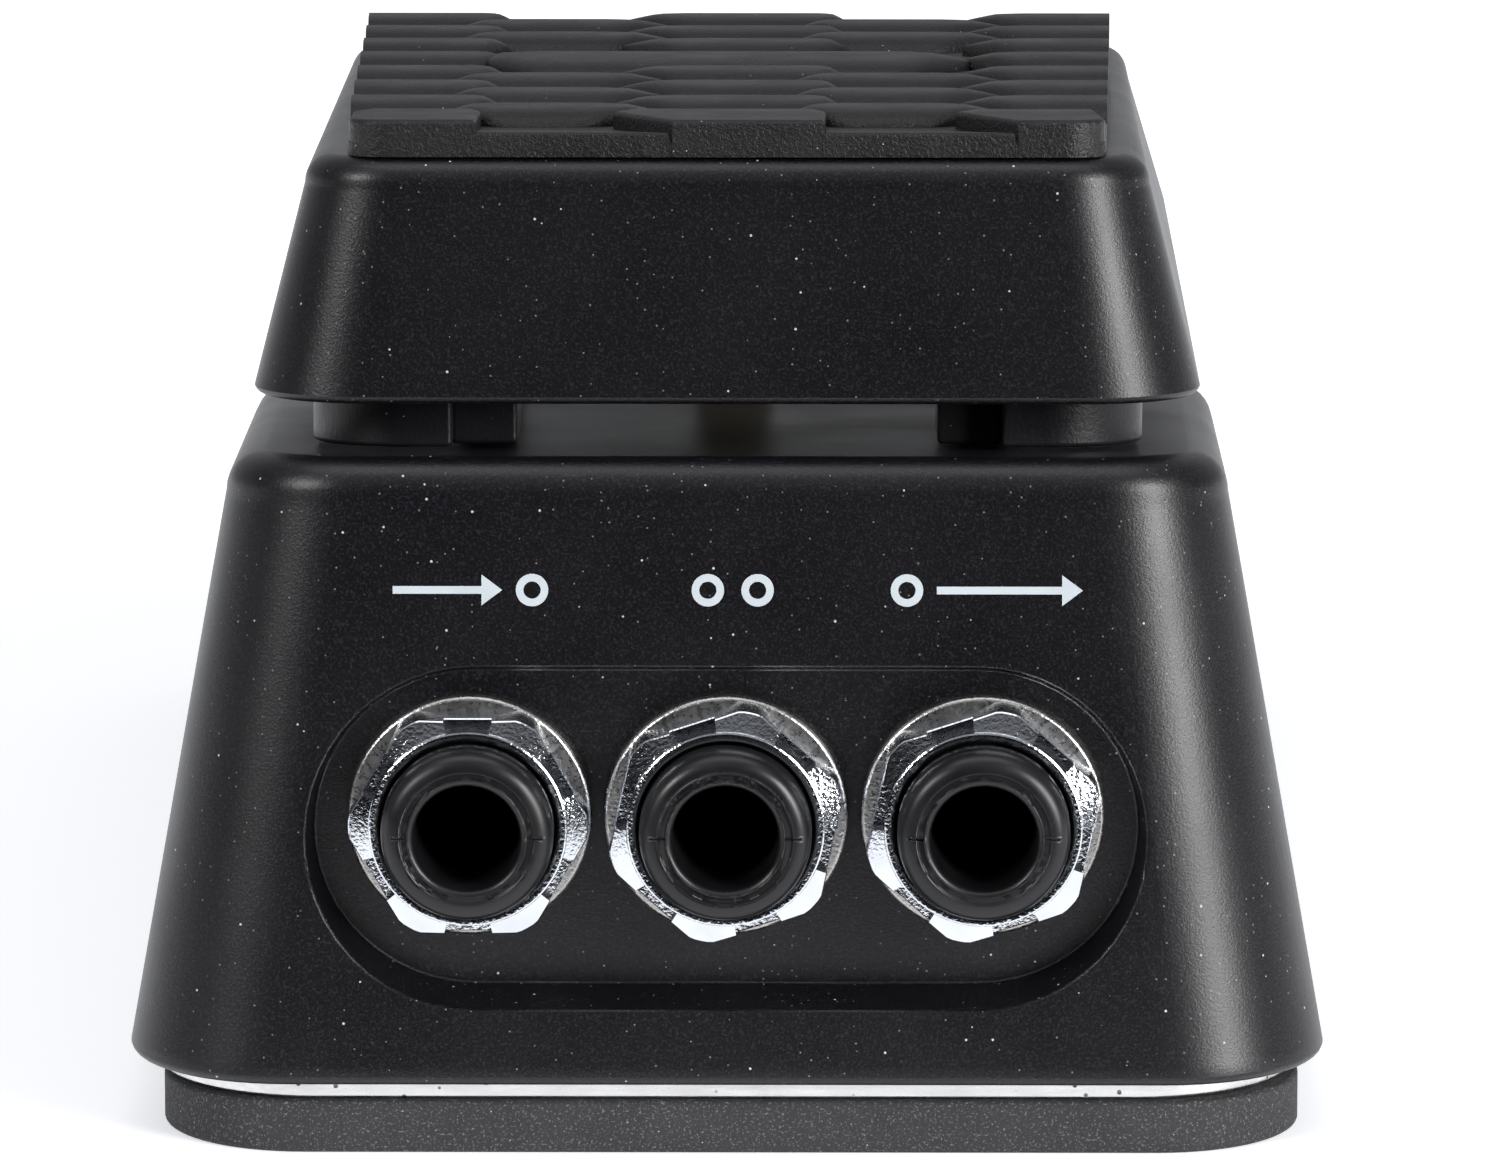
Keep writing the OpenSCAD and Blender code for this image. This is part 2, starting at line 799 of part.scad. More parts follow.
// A bumper's plan: a block with a round outer corner towards the end of the pedal
module bumper_plan(y, toe) {
    corner_y = toe ? y[0] + bumper_corner_r : y[1] - bumper_corner_r;
    translate([bumper_x[0], y[0]])
        square([bumper_x[1] - bumper_corner_r - bumper_x[0], y[1] - y[0]]);
    translate([bumper_x[1] - bumper_corner_r, toe ? corner_y : y[0]])
        square([bumper_corner_r, y[1] - y[0] - bumper_corner_r]);
    translate([bumper_x[1] - bumper_corner_r, corner_y])
        circle(bumper_corner_r);
}

// Everything under the chassis top, raised by a small gap
module below_top(slope) {
    translate([0, 0, pivot_top_z + bumper_rest_gap])
        rotate([-slope, 0, 0])
            translate([-50, -100, -60])
                cube([100, 200, 60]);
}

module bumper_blanks(k, toe, low_z) {
    y = toe ? toe_bumper_y : heel_bumper_y;
    for (s = sides)
        mirror([s > 0 ? 0 : 1, 0, 0])
            difference() {
                translate([0, 0, low_z])
                    linear_extrude(bumper_top_z[k] - low_z)
                        bumper_plan(y, toe);
                translate([bumper_screw_xy[k][0], bumper_screw_xy[k][1], low_z - 1])
                    cylinder(r = 2.7, h = bumper_seat_z[k] - low_z + 1);
                translate([bumper_screw_xy[k][0], bumper_screw_xy[k][1], low_z])
                    cylinder(r = 1.5, h = 40);
            }
}

module toe_bumpers() {
    color("#0f0f11")
        difference() {
            bumper_blanks(0, true, 38);
            below_top(toe_slope);
        }
}

module heel_bumpers() {
    color("#0f0f11")
        difference() {
            bumper_blanks(1, false, 30);
            translate([0, 0, pivot_z])
                rotate([tilt_range, 0, 0])
                    translate([0, 0, -pivot_z])
                        below_top(heel_slope);
        }
}

module bumper_screws() {
    color("#8b8b8e")
        for (s = sides, k = [0:1])
            translate([s * bumper_screw_xy[k][0], bumper_screw_xy[k][1], bumper_seat_z[k]])
                difference() {
                    union() {
                        translate([0, 0, -1.5])
                            cylinder(r = 2.4, h = 1.5);
                        cylinder(r = 1.3, h = bumper_top_z[k] - bumper_seat_z[k] + 4);
                    }
                    translate([0, 0, -2])
                        cylinder(r = 1.1, h = 1.4, $fn = 6);
                }
}

module pivot_bushings() {
    color("#e6e2d2")
        for (s = sides)
            difference() {
                union() {
                    rod_x(s > 0 ? ear_x[0] : -ear_x[1], s > 0 ? ear_x[1] : -ear_x[0], bushing_r, 0, pivot_z);
                    rod_x(s > 0 ? ear_x[1] : -ear_x[1] - bushing_flange_t,
                          s > 0 ? ear_x[1] + bushing_flange_t : -ear_x[1], bushing_flange_r, 0, pivot_z);
                }
                rod_x(s > 0 ? 10 : -30, s > 0 ? 30 : -10, axle_r + running_gap, 0, pivot_z);
            }
}

// Everything between two angles about the pivot, measured from straight down towards the heel
module slice(from, to, half_t) {
    mid = (from + to) / 2;
    translate([-half_t, 0, pivot_z])
        rotate([90, 0, 90])
            linear_extrude(2 * half_t)
                polygon([[0, 0], 40 * [sin(from), -cos(from)], 50 * [sin(mid), -cos(mid)],
                         40 * [sin(to), -cos(to)]]);
}

// Turns something about the pivot so that its -Z side points to an angle
module at_angle(a) {
    translate([0, 0, pivot_z])
        rotate([a, 0, 0])
            children();
}

module drive_sector() {
    color("#d8d3c2")
        difference() {
            union() {
                intersection() {
                    rod_x(-sector_half_t, sector_half_t, sector_r, 0, pivot_z);
                    slice(sector_from, sector_to, sector_half_t + 1);
                }
                rod_x(-sector_half_t, sector_half_t, ear_r, 0, pivot_z);
                box([-sector_half_t, -ear_r, pivot_z], [sector_half_t, ear_r, pad_z]);
                box([-pad_x, -pad_y, pad_z - flange_t], [pad_x, pad_y, pad_z]);
            }
            rod_x(-10, 10, axle_r + 0.5, 0, pivot_z);
            for (s = sides)
                translate([s * sector_screw_x, sector_screw_y, pad_z - 5])
                    cylinder(r = 1.4, h = 10);
            for (a = [sector_from, sector_to])
                at_angle(a)
                    rod_y(-5, 5, 0.95, 0, -23.3);
        }
}

module sector_screws() {
    color("#8b8b8e")
        for (s = sides)
            translate([s * sector_screw_x, sector_screw_y, pad_z - flange_t])
                difference() {
                    union() {
                        translate([0, 0, -1.4])
                            cylinder(r = 2.3, h = 1.4);
                        cylinder(r = 1.25, h = flange_t + 2.1);
                    }
                    translate([0, 0, -2])
                        cylinder(r = 1, h = 1.4, $fn = 6);
                }
}

module drive_band() {
    color("#c4c8cc")
        intersection() {
            difference() {
                rod_x(-band_half_w, band_half_w, sector_r + band_t, 0, pivot_z);
                rod_x(-band_half_w - 1, band_half_w + 1, sector_r, 0, pivot_z);
            }
            slice(sector_from, sector_to, band_half_w + 1);
        }
}

// Which way the free side of the sector faces at each of its ends
function outward(a) = a == sector_to ? 1 : -1;

module band_clamps() {
    color("#b9babd")
        for (a = [sector_from, sector_to])
            at_angle(a)
                difference() {
                    box([-2.2, outward(a) > 0 ? 0 : -1.2, -25.9], [2.2, outward(a) > 0 ? 1.2 : 0, -20.9]);
                    rod_y(-3, 3, 0.95, 0, -23.3);
                }
}

module band_screws() {
    color("#8b8b8e")
        for (a = [sector_from, sector_to])
            at_angle(a) {
                rod_y(outward(a) > 0 ? -4 : -1.2, outward(a) > 0 ? 1.2 : 4, 0.9, 0, -23.3);
                rod_y(outward(a) > 0 ? 1.2 : -2.3, outward(a) > 0 ? 2.3 : -1.2, 1.7, 0, -23.3);
            }
}

chassis_shell();
bottom_plate();
rubber_mat();
bottom_screws();
jack(-1);  // input_jack
jack(0);  // aux_jack
jack(1);  // output_jack
contacts(-1);  // input_contacts
contacts(0);  // aux_contacts
contacts(1);  // output_contacts
jack_washer(-1);  // input_washer
jack_washer(0);  // aux_washer
jack_washer(1);  // output_washer
jack_nut(-1);  // input_nut
jack_nut(0);  // aux_nut
jack_nut(1);  // output_nut
circuit_board();
board_components();
lead_connector();
pot_leads();
mode_switch_body();
mode_slider();
pot_bracket();
bracket_screws();
pot_body();
pot_washer();
pot_nut();
pivot_axle();
axle_clips();
tension_screw();
friction_shoe();
pot_shaft();
drive_pulley();
pulley_set_screw();
band_turn();
rocker_shell();
tread();
toe_bumpers();
heel_bumpers();
bumper_screws();
pivot_bushings();
drive_sector();
sector_screws();
drive_band();
band_clamps();
band_screws();
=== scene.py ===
"""The visual model of a compact rocker volume pedal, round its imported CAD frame. Metres, +Z up, toe at -Y."""

import json
import math

import bmesh
import bpy
from mathutils import Matrix, Vector


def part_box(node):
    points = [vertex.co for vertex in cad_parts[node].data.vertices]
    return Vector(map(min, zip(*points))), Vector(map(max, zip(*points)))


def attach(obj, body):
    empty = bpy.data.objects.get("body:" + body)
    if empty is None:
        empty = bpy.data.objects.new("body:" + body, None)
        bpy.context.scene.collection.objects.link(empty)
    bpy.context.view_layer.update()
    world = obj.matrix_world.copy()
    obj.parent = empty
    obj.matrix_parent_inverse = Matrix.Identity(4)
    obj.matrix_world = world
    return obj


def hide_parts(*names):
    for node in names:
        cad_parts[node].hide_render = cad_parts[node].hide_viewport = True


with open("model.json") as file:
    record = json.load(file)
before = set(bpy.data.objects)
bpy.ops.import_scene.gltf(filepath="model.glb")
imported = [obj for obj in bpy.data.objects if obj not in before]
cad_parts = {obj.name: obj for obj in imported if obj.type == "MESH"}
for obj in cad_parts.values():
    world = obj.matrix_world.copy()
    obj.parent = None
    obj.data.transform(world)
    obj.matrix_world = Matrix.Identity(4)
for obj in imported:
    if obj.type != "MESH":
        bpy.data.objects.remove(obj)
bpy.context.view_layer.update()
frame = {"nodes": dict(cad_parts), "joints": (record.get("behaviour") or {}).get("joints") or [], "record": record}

MM = 0.001
NODES = frame["nodes"]
JOINT = {joint["name"]: joint for joint in frame["joints"]}
PIVOT = Vector(JOINT["rocker_tilt"]["pos_m"])

# ---------------------------------------------------------------- driving sizes, millimetres
DRAFT = math.radians(9.9)
TOE_SLOPE = math.tan(math.radians(6.2))
HEEL_SLOPE = math.tan(math.radians(13.5))
CREST_Z = 35.0
CREST_BLEND = 3.0
BASE_CORNER_R = 10.0
TOP_CORNER_R = 8.0
TOP_ROUND = 2.5
TOP_Y = (-64.0, 67.0)  # about where the top ends, at the toe and at the heel
BASE_ROUND = 0.75
WALL = 2.5
BOSS_TOP_Z = 27.0      # the screw bosses end here, inside the leaning walls
STRIP = 0.6            # width of the narrow faces beside a round

SKIRT_SLOPE = math.tan(math.radians(3.5))
ROOF_SLOPE_DEG = 5.25
ROOF_SLOPE = math.tan(math.radians(ROOF_SLOPE_DEG))
SKIRT_TOE_Z = 44.9
SHOULDER_Z = 59.6
SKIRT_Y = (-62.0, 60.0)
SHOULDER_Y = (-59.8, 58.0)
SKIRT_HALF_W = (28.75, 30.25)
SHOULDER_HALF_W = (25.6, 27.5)
SKIRT_CORNER_R = 7.0
SHOULDER_CORNER_R = 5.5
SHOULDER_ROUND = 1.8
SKIRT_ROUND = 0.6
SKIRT_LEAN_DEG = 14
ROCKER_WALL = 2.0
ROOF_T = 2.5

RECESS_L, RECESS_H = 50.7, 20.3
RECESS_DRAFT = math.tan(math.radians(9.5))
RECESS_DROP = 0.8      # the recess's middle is this far below the jacks
PANEL_T = 2.4
OUTSIDE_Y = -75.0      # a plane in front of the toe wall, where the cuts from outside begin
JACK_HOLE_R = 5.45
BOSS_R = 3.5
BOSS_REACH = 1.2       # a boss ends this far under the top that it grows from
PILOT_R = 1.5
SCREW_HEAD_R = 2.8
LUG_X, LUG_R = (14.0, 18.0), 5.5
AXLE_HOLE_R = 3.02
ROCKER_LUG_X, ROCKER_LUG_R = (19.0, 23.0), 6.0
BUSHING_HOLE_R = 4.5
BRACKET_X, BRACKET_Y = 14, (-5.5, 5.5)

NUT_LIFT = 0.8         # the nuts' rounded fronts stand this far before their CAD boxes
NUT_HALF_FLATS = 6.55
NUT_CORNER_R = 7.22    # the corners are turned off to this radius
NUT_CROWN_SLOPE = math.tan(math.radians(20))
NOTCH_DEG = 12.6       # half the angle that a notch takes up
NOTCH_DEPTH = 1.25
NOSE_R, THREAD_ROOT_R = 5.19, 4.92
PLUG_HOLE_R, PLUG_HOLE_DEPTH = 3.2, 31.5

TREAD_Y = (1.0, 116.0)           # along the roof, from the toe shoulder
TREAD_HALF_W = (22.9, 26.3)
TREAD_CORNER_R = 2.4
TREAD_SHEET = 1.2
RIB_H = 1.07
RIB_HALF_DEPTH = 4.6
RIB_PITCH = 14.9
FIRST_RIB_Y = 7.6
PAD_Y = FIRST_RIB_Y + 3.95 * RIB_PITCH

SIGN_Z = 34.1          # the height of the signs' middle line on the toe wall
SIGN_ASIDE = 0.4       # the signs stand this far to the right of the jacks
SIGN_STROKE, SIGN_R = 0.46, 0.98
SIGN_GAP, SIGN_T = 0.03, 0.02


# ---------------------------------------------------------------- small helpers

def link(obj):
    bpy.context.scene.collection.objects.link(obj)
    return obj


def from_bmesh(name, bm):
    """A new object from a bmesh whose points are in millimetres."""
    bmesh.ops.remove_doubles(bm, verts=bm.verts, dist=1e-5)
    bmesh.ops.recalc_face_normals(bm, faces=bm.faces)
    bmesh.ops.scale(bm, vec=(MM, MM, MM), verts=bm.verts)
    mesh = bpy.data.meshes.new(name)
    bm.to_mesh(mesh)
    bm.free()
    return link(bpy.data.objects.new(name, mesh))


def settle(obj):
    """Turns an object's modifiers into its mesh."""
    graph = bpy.context.evaluated_depsgraph_get()
    mesh = bpy.data.meshes.new_from_object(obj.evaluated_get(graph))
    obj.modifiers.clear()
    old = obj.data
    obj.data = mesh
    bpy.data.meshes.remove(old)


def combine(base, tools, operation):
    """Cuts each tool out of the base, or joins it on, and deletes the tools."""
    for tool in tools:
        step = base.modifiers.new("step", "BOOLEAN")
        step.operation = operation
        step.object = tool
        step.solver = "EXACT"
        settle(base)
        bpy.data.objects.remove(tool)
    return base


def soften(obj, width, segments=2, angle=35, where=None, clamp=True):
    """Small rounds on the sharp edges, all of them or those where the test holds; the rest stay crisp."""
    limit = math.radians(angle)
    bm = bmesh.new()
    bm.from_mesh(obj.data)
    weight = bm.edges.layers.float.new("bevel_weight_edge")
    for edge in bm.edges:
        turned = edge.is_manifold and edge.calc_face_angle(0.0) > limit
        chosen = turned and (where is None or all(where(v.co / MM) for v in edge.verts))
        edge[weight] = 1.0 if chosen else 0.0
        edge.smooth = chosen or not turned
    for face in bm.faces:
        face.smooth = True
    bm.to_mesh(obj.data)
    bm.free()
    bevel = obj.modifiers.new("edge_round", "BEVEL")
    bevel.width = width * MM
    bevel.segments = segments
    bevel.limit_method = "WEIGHT"
    bevel.use_clamp_overlap = clamp
    bevel.miter_outer = "MITER_ARC"
    normals = obj.modifiers.new("flat_faces", "WEIGHTED_NORMAL")
    normals.keep_sharp = True
    return obj


def finish_piece(obj, material, body, replaces=()):
    """Gives a piece its material and its body, and hides the CAD nodes that it stands in for."""
    obj.data.materials.clear()
    obj.data.materials.append(material)
    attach(obj, body)
    if replaces:
        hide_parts(*replaces)
    return obj


def box_tool(low, high):
    """A box between two corners."""
    bm = bmesh.new()
    bmesh.ops.create_cube(bm, size=1.0)
    size = [h - l for l, h in zip(low, high)]
    mid = [(h + l) / 2 for l, h in zip(low, high)]
    bmesh.ops.scale(bm, vec=size, verts=bm.verts)
    bmesh.ops.translate(bm, vec=mid, verts=bm.verts)
    return from_bmesh("tool", bm)


def rod_tool(start, end, radius, segments=64):
    """A cylinder between two points."""
    start, end = Vector(start), Vector(end)
    bm = bmesh.new()
    bmesh.ops.create_cone(bm, cap_ends=True, segments=segments, radius1=radius, radius2=radius,
                          depth=(end - start).length)
    turn = (end - start).to_track_quat("Z", "Y").to_matrix().to_4x4()
    bmesh.ops.transform(bm, matrix=Matrix.Translation((start + end) / 2) @ turn, verts=bm.verts)
    return from_bmesh("tool", bm)


def bridge(bm, low, high):
    """Faces between two closed rows of vertices with equal counts."""
    for i in range(len(low)):
        j = (i + 1) % len(low)
        bm.faces.new((low[i], low[j], high[j], high[i]))


def stack(bm, rows):
    """Walls through closed rows of vertices, with a cap on the first and on the last."""
    for low, high in zip(rows, rows[1:]):
        bridge(bm, low, high)
    bm.faces.new(rows[0])
    bm.faces.new(rows[-1])


def cap_to_mirror(bm, row):
    """Closes a row by strips from each vertex to its mirror in X."""
    count = len(row)
    for i in range(count // 2):
        corners = [row[i], row[i + 1], row[(count - i - 1) % count], row[(count - i) % count]]
        bm.faces.new(list(dict.fromkeys(corners)))


def skin(rings, mirrored_caps=False):
    """A closed mesh through rings of points with equal counts. A casting's caps are mirrored ones."""
    bm = bmesh.new()
    rows = [[bm.verts.new(p) for p in ring] for ring in rings]
    if not mirrored_caps:
        stack(bm, rows)
        return bm
    for low, high in zip(rows, rows[1:]):
        bridge(bm, low, high)
    cap_to_mirror(bm, rows[0])
    cap_to_mirror(bm, rows[-1])
    return bm


def lathe(profile, centre, segments, name):
    """A ring turned round -Y. The profile is closed: (radius, distance in front of the centre)."""
    bm = bmesh.new()
    rows = []
    for k in range(segments):
        a = 2 * math.pi * k / segments
        rows.append([bm.verts.new((centre[0] + r * math.cos(a), centre[1] - d, centre[2] + r * math.sin(a)))
                     for r, d in profile])
    for here, there in zip(rows, rows[1:] + rows[:1]):
        bridge(bm, here, there)
    return from_bmesh(name, bm)


def add_node(tree, kind, **inputs):
    """A new shader node with some of its inputs set. An underscore stands for a space in an input's name."""
    node = tree.nodes.new(kind)
    for key, value in inputs.items():
        node.inputs[key.replace("_", " ")].default_value = value
    return node


# ---------------------------------------------------------------- camera and light

def make_camera():
    """A long lens far before the toe end and a little above, solved from the photo's perspective."""
    camera = bpy.data.cameras.new("camera")
    camera.sensor_width = 36.0
    camera.lens = 254.9
    camera.clip_start = 0.01
    camera.clip_end = 20.0
    obj = link(bpy.data.objects.new("camera", camera))
    obj.location = (0.00504, -0.6918, 0.1633)
    obj.rotation_euler = (math.radians(90.0 - 11.6), 0.0, math.radians(0.329))
    bpy.context.scene.camera = obj


def make_softbox(name, azimuth, elevation, distance, size, power):
    """A rectangular light that faces the pedal. Azimuth 0 is at the toe side, and 90 at +X."""
    light = bpy.data.lights.new(name, "AREA")
    light.shape = "RECTANGLE"
    light.size, light.size_y = size
    light.energy = power
    obj = link(bpy.data.objects.new(name, light))
    a, e = math.radians(azimuth), math.radians(elevation)
    aim = Vector((0.0, -0.02, 0.03))
    away = Vector((math.sin(a) * math.cos(e), -math.cos(a) * math.cos(e), math.sin(e)))
    obj.location = aim + away * distance
    obj.rotation_euler = away.to_track_quat("Z", "Y").to_euler()
    obj.visible_camera = False
    return obj


def studio_brightness(tree):
    """How bright the studio is in each direction: it grows with height and towards the heel side."""
    place = add_node(tree, "ShaderNodeTexCoord")
    split = add_node(tree, "ShaderNodeSeparateXYZ")
    tree.links.new(place.outputs["Generated"], split.inputs[0])
    depth = add_node(tree, "ShaderNodeMapRange", From_Min=-0.15, From_Max=0.95)
    tree.links.new(split.outputs["Y"], depth.inputs["Value"])
    height = add_node(tree, "ShaderNodeMapRange", From_Min=0.27, From_Max=1.0, To_Max=1.1)
    tree.links.new(split.outputs["Z"], height.inputs["Value"])
    brighter = add_node(tree, "ShaderNodeMath")
    brighter.operation = "MAXIMUM"
    tree.links.new(depth.outputs[0], brighter.inputs[0])
    tree.links.new(height.outputs[0], brighter.inputs[1])
    return brighter.outputs[0]


def make_world():
    """White to the eye, and a studio for the reflections: bright above and behind, dim at the toe side."""
    world = bpy.data.worlds.new("studio")
    bpy.context.scene.world = world
    world.use_nodes = True
    tree = world.node_tree
    tree.nodes.clear()
    seen = add_node(tree, "ShaderNodeBackground", Color=(1.0, 1.0, 1.0, 1.0), Strength=1.0)
    lighting = add_node(tree, "ShaderNodeBackground", Strength=1.0)
    ramp = add_node(tree, "ShaderNodeValToRGB")
    ramp.color_ramp.elements[0].color = (0.006, 0.006, 0.007, 1.0)
    ramp.color_ramp.elements[1].color = (0.42, 0.425, 0.445, 1.0)
    tree.links.new(studio_brightness(tree), ramp.inputs["Fac"])
    tree.links.new(ramp.outputs["Color"], lighting.inputs["Color"])
    path = add_node(tree, "ShaderNodeLightPath")
    mix = add_node(tree, "ShaderNodeMixShader")
    tree.links.new(path.outputs["Is Camera Ray"], mix.inputs["Fac"])
    tree.links.new(lighting.outputs[0], mix.inputs[1])
    tree.links.new(seen.outputs[0], mix.inputs[2])
    out = add_node(tree, "ShaderNodeOutputWorld")
    tree.links.new(mix.outputs[0], out.inputs["Surface"])


def painted_shade_floor_glow(tree):
    """The floor's own light: faint under the pedal, and stronger away from it, to turn the paper white. Its dip
    round the pedal is a painted shade on the floor.
    """
    place = add_node(tree, "ShaderNodeTexCoord")
    away = add_node(tree, "ShaderNodeVectorMath")
    away.operation = "DISTANCE"
    away.inputs[1].default_value = (0.01, 0.0, 0.0)
    tree.links.new(place.outputs["Object"], away.inputs[0])
    # painted shade: the glow is weakest near the pedal, so the floor reads darker round it
    lift = add_node(tree, "ShaderNodeMapRange", From_Min=0.10, From_Max=0.36, To_Min=0.45, To_Max=0.70)
    tree.links.new(away.outputs["Value"], lift.inputs["Value"])
    glow = add_node(tree, "ShaderNodeEmission", Color=(0.97, 0.98, 1.0, 1.0))
    tree.links.new(lift.outputs["Result"], glow.inputs["Strength"])
    return glow.outputs[0]


def make_floor():
    """White paper. It ends in front of the pedal, so that the dark fronts do not mirror it."""
    reach, front = 3000, -125
    corners = ((-reach, front, 0), (reach, front, 0), (reach, reach, 0), (-reach, reach, 0))
    bm = bmesh.new()
    bm.faces.new([bm.verts.new(p) for p in corners])
    floor = from_bmesh("floor", bm)
    paper = bpy.data.materials.new("floor_paper")
    paper.use_nodes = True
    tree = paper.node_tree
    tree.nodes.clear()
    diffuse = add_node(tree, "ShaderNodeBsdfDiffuse", Color=(0.86, 0.865, 0.885, 1.0))
    add = add_node(tree, "ShaderNodeAddShader")
    tree.links.new(diffuse.outputs[0], add.inputs[0])
    tree.links.new(painted_shade_floor_glow(tree), add.inputs[1])
    out = add_node(tree, "ShaderNodeOutputMaterial")
    tree.links.new(add.outputs[0], out.inputs["Surface"])
    floor.data.materials.append(paper)


# ---------------------------------------------------------------- materials

class Surface:
    """A principled material and the few kinds of node that the pieces use."""

    def __init__(self, name):
        self.material = bpy.data.materials.new(name)
        self.material.use_nodes = True
        self.tree = self.material.node_tree
        self.shader = self.tree.nodes["Principled BSDF"]
        self.place = self.tree.nodes.new("ShaderNodeTexCoord").outputs["Object"]

    def set(self, **values):
        for key, value in values.items():
            self.shader.inputs[key.replace("_", " ")].default_value = value
        return self

    def link(self, source, target):
        self.tree.links.new(source, target)

    def noise(self, size_mm, detail=2.0, rough=0.5, stretch=None):
        """Soft noise whose features are about this many millimetres across."""
        scale = 1.0 / (size_mm * MM)
        node = add_node(self.tree, "ShaderNodeTexNoise", Scale=scale, Detail=detail, Roughness=rough)
        self.link(self.stretched(stretch), node.inputs["Vector"])
        return node.outputs["Fac"]

    def stretched(self, stretch):
        if stretch is None:
            return self.place
        node = add_node(self.tree, "ShaderNodeMapping", Scale=stretch)
        self.link(self.place, node.inputs["Vector"])
        return node.outputs["Vector"]

    def cells(self, size_mm, output):
        node = add_node(self.tree, "ShaderNodeTexVoronoi", Scale=1.0 / (size_mm * MM))
        self.link(self.place, node.inputs["Vector"])
        return node.outputs[output]

    def remap(self, value, low, high, to_low=0.0, to_high=1.0):
        node = add_node(self.tree, "ShaderNodeMapRange", From_Min=low, From_Max=high,
                        To_Min=to_low, To_Max=to_high)
        self.link(value, node.inputs["Value"])
        return node.outputs["Result"]

    def math(self, operation, a, b):
        node = add_node(self.tree, "ShaderNodeMath")
        node.operation = operation
        for socket, value in zip(node.inputs, (a, b)):
            if isinstance(value, (int, float)):
                socket.default_value = value
            else:
                self.link(value, socket)
        return node.outputs[0]

    def blend(self, factor, low, high):
        """A colour between two, where each is a colour or another blend's output."""
        node = add_node(self.tree, "ShaderNodeMix")
        node.data_type = "RGBA"
        self.link(factor, node.inputs["Factor"])
        for socket, value in ((node.inputs["A"], low), (node.inputs["B"], high)):
            for option in (s for s in node.inputs if s.name == socket.name and s.type == "RGBA"):
                if isinstance(value, tuple):
                    option.default_value = (*value, 1.0)
                else:
                    self.link(value, option)
        return next(s for s in node.outputs if s.type == "RGBA")

    def bump(self, height, depth_mm, strength=1.0):
        """Adds a relief of this depth, on top of any that came before."""
        node = add_node(self.tree, "ShaderNodeBump", Strength=strength, Distance=depth_mm * MM)
        self.link(height, node.inputs["Height"])
        target = self.shader.inputs["Normal"]
        if target.is_linked:
            self.link(target.links[0].from_socket, node.inputs["Normal"])
        self.link(node.outputs["Normal"], target)
        return self

    def colour(self, socket):
        self.link(socket, self.shader.inputs["Base Color"])
        return self

    def rough(self, socket):
        self.link(socket, self.shader.inputs["Roughness"])
        return self

    def specks(self, cell_mm, size, amount):
        """Sparse small spots: one at the heart of some cells."""
        near = self.remap(self.cells(cell_mm, "Distance"), size * 0.6, size, 1.0, 0.0)
        pick = add_node(self.tree, "ShaderNodeSeparateColor")
        self.link(self.cells(cell_mm, "Color"), pick.inputs[0])
        chosen = self.math("LESS_THAN", pick.outputs[0], amount)
        return self.math("MULTIPLY", near, chosen)


def powder_coat(name, base, grain_mm=0.16):
    """Satin black powder coat: fine grain, slow gloss changes and a little settled dust."""
    s = Surface(name).set(Metallic=0.0, IOR=1.5)
    grain = s.noise(grain_mm, detail=3.0, rough=0.6)
    cloud = s.noise(9.0, detail=3.0)
    dust = s.specks(1.3, 0.07, 0.45)
    fine_dust = s.specks(0.55, 0.13, 0.4)
    light = tuple(c * 12 for c in base)
    tone = s.blend(s.remap(grain, 0.5, 0.72), base, light)
    tone = s.blend(s.math("MULTIPLY", fine_dust, 0.5), tone, (0.30, 0.30, 0.31))
    tone = s.blend(s.math("MULTIPLY", dust, 0.9), tone, (0.62, 0.62, 0.62))
    s.colour(tone)
    s.rough(s.math("ADD", s.remap(cloud, 0.3, 0.7, 0.33, 0.38), s.math("MULTIPLY", dust, 0.4)))
    s.bump(grain, 0.03, 0.6)
    return s.material


def moulded_rubber(name, base, rough=0.62, speck=0.0, grain_mm=0.14, ior=1.42, relief=0.05):
    """Black rubber with fine grain, and pale specks where it is dusty."""
    s = Surface(name).set(Metallic=0.0, IOR=ior)
    grain = s.noise(grain_mm, detail=2.0, rough=0.7)
    wear = s.noise(4.0, detail=4.0, rough=0.6)
    tone = s.blend(s.remap(wear, 0.3, 0.7), base, tuple(c * 1.5 for c in base))
    tone = s.blend(s.math("MULTIPLY", s.specks(0.9, 0.06, 0.55), 0.7), tone, (0.6, 0.6, 0.6))
    if speck:
        crumbs = s.remap(s.noise(0.16, detail=3.0, rough=0.75), 0.56, 0.68)
        tone = s.blend(s.math("MULTIPLY", crumbs, speck), tone, (0.30, 0.30, 0.29))
        s.bump(s.noise(0.5, detail=3.0), 0.12, 0.6)
    s.colour(tone)
    s.rough(s.remap(wear, 0.3, 0.7, rough - 0.06, rough + 0.06))
    s.bump(grain, relief, 0.6)
    return s.material


def bright_metal(name, base, rough, pits=0.0, pit_mm=0.25, stretch=None, relief=0.004):
    """Plated or turned metal: slight tone changes, rolling or turning marks, and pits if asked."""
    s = Surface(name).set(Metallic=1.0)
    marks = s.noise(0.3, detail=3.0, rough=0.6, stretch=stretch)
    cloud = s.noise(3.0, detail=2.0)
    tone = s.blend(s.remap(cloud, 0.35, 0.65), tuple(c * 0.9 for c in base), base)
    if pits:
        spots = s.specks(0.7, 0.24, pits)
        tone = s.blend(spots, tone, (0.16, 0.15, 0.14))
        s.bump(spots, -0.03, 0.6)
    s.colour(tone)
    s.rough(s.remap(marks, 0.3, 0.7, rough * 0.75, rough * 1.25))
    s.bump(s.noise(pit_mm, detail=2.0), relief, 0.6)
    return s.material


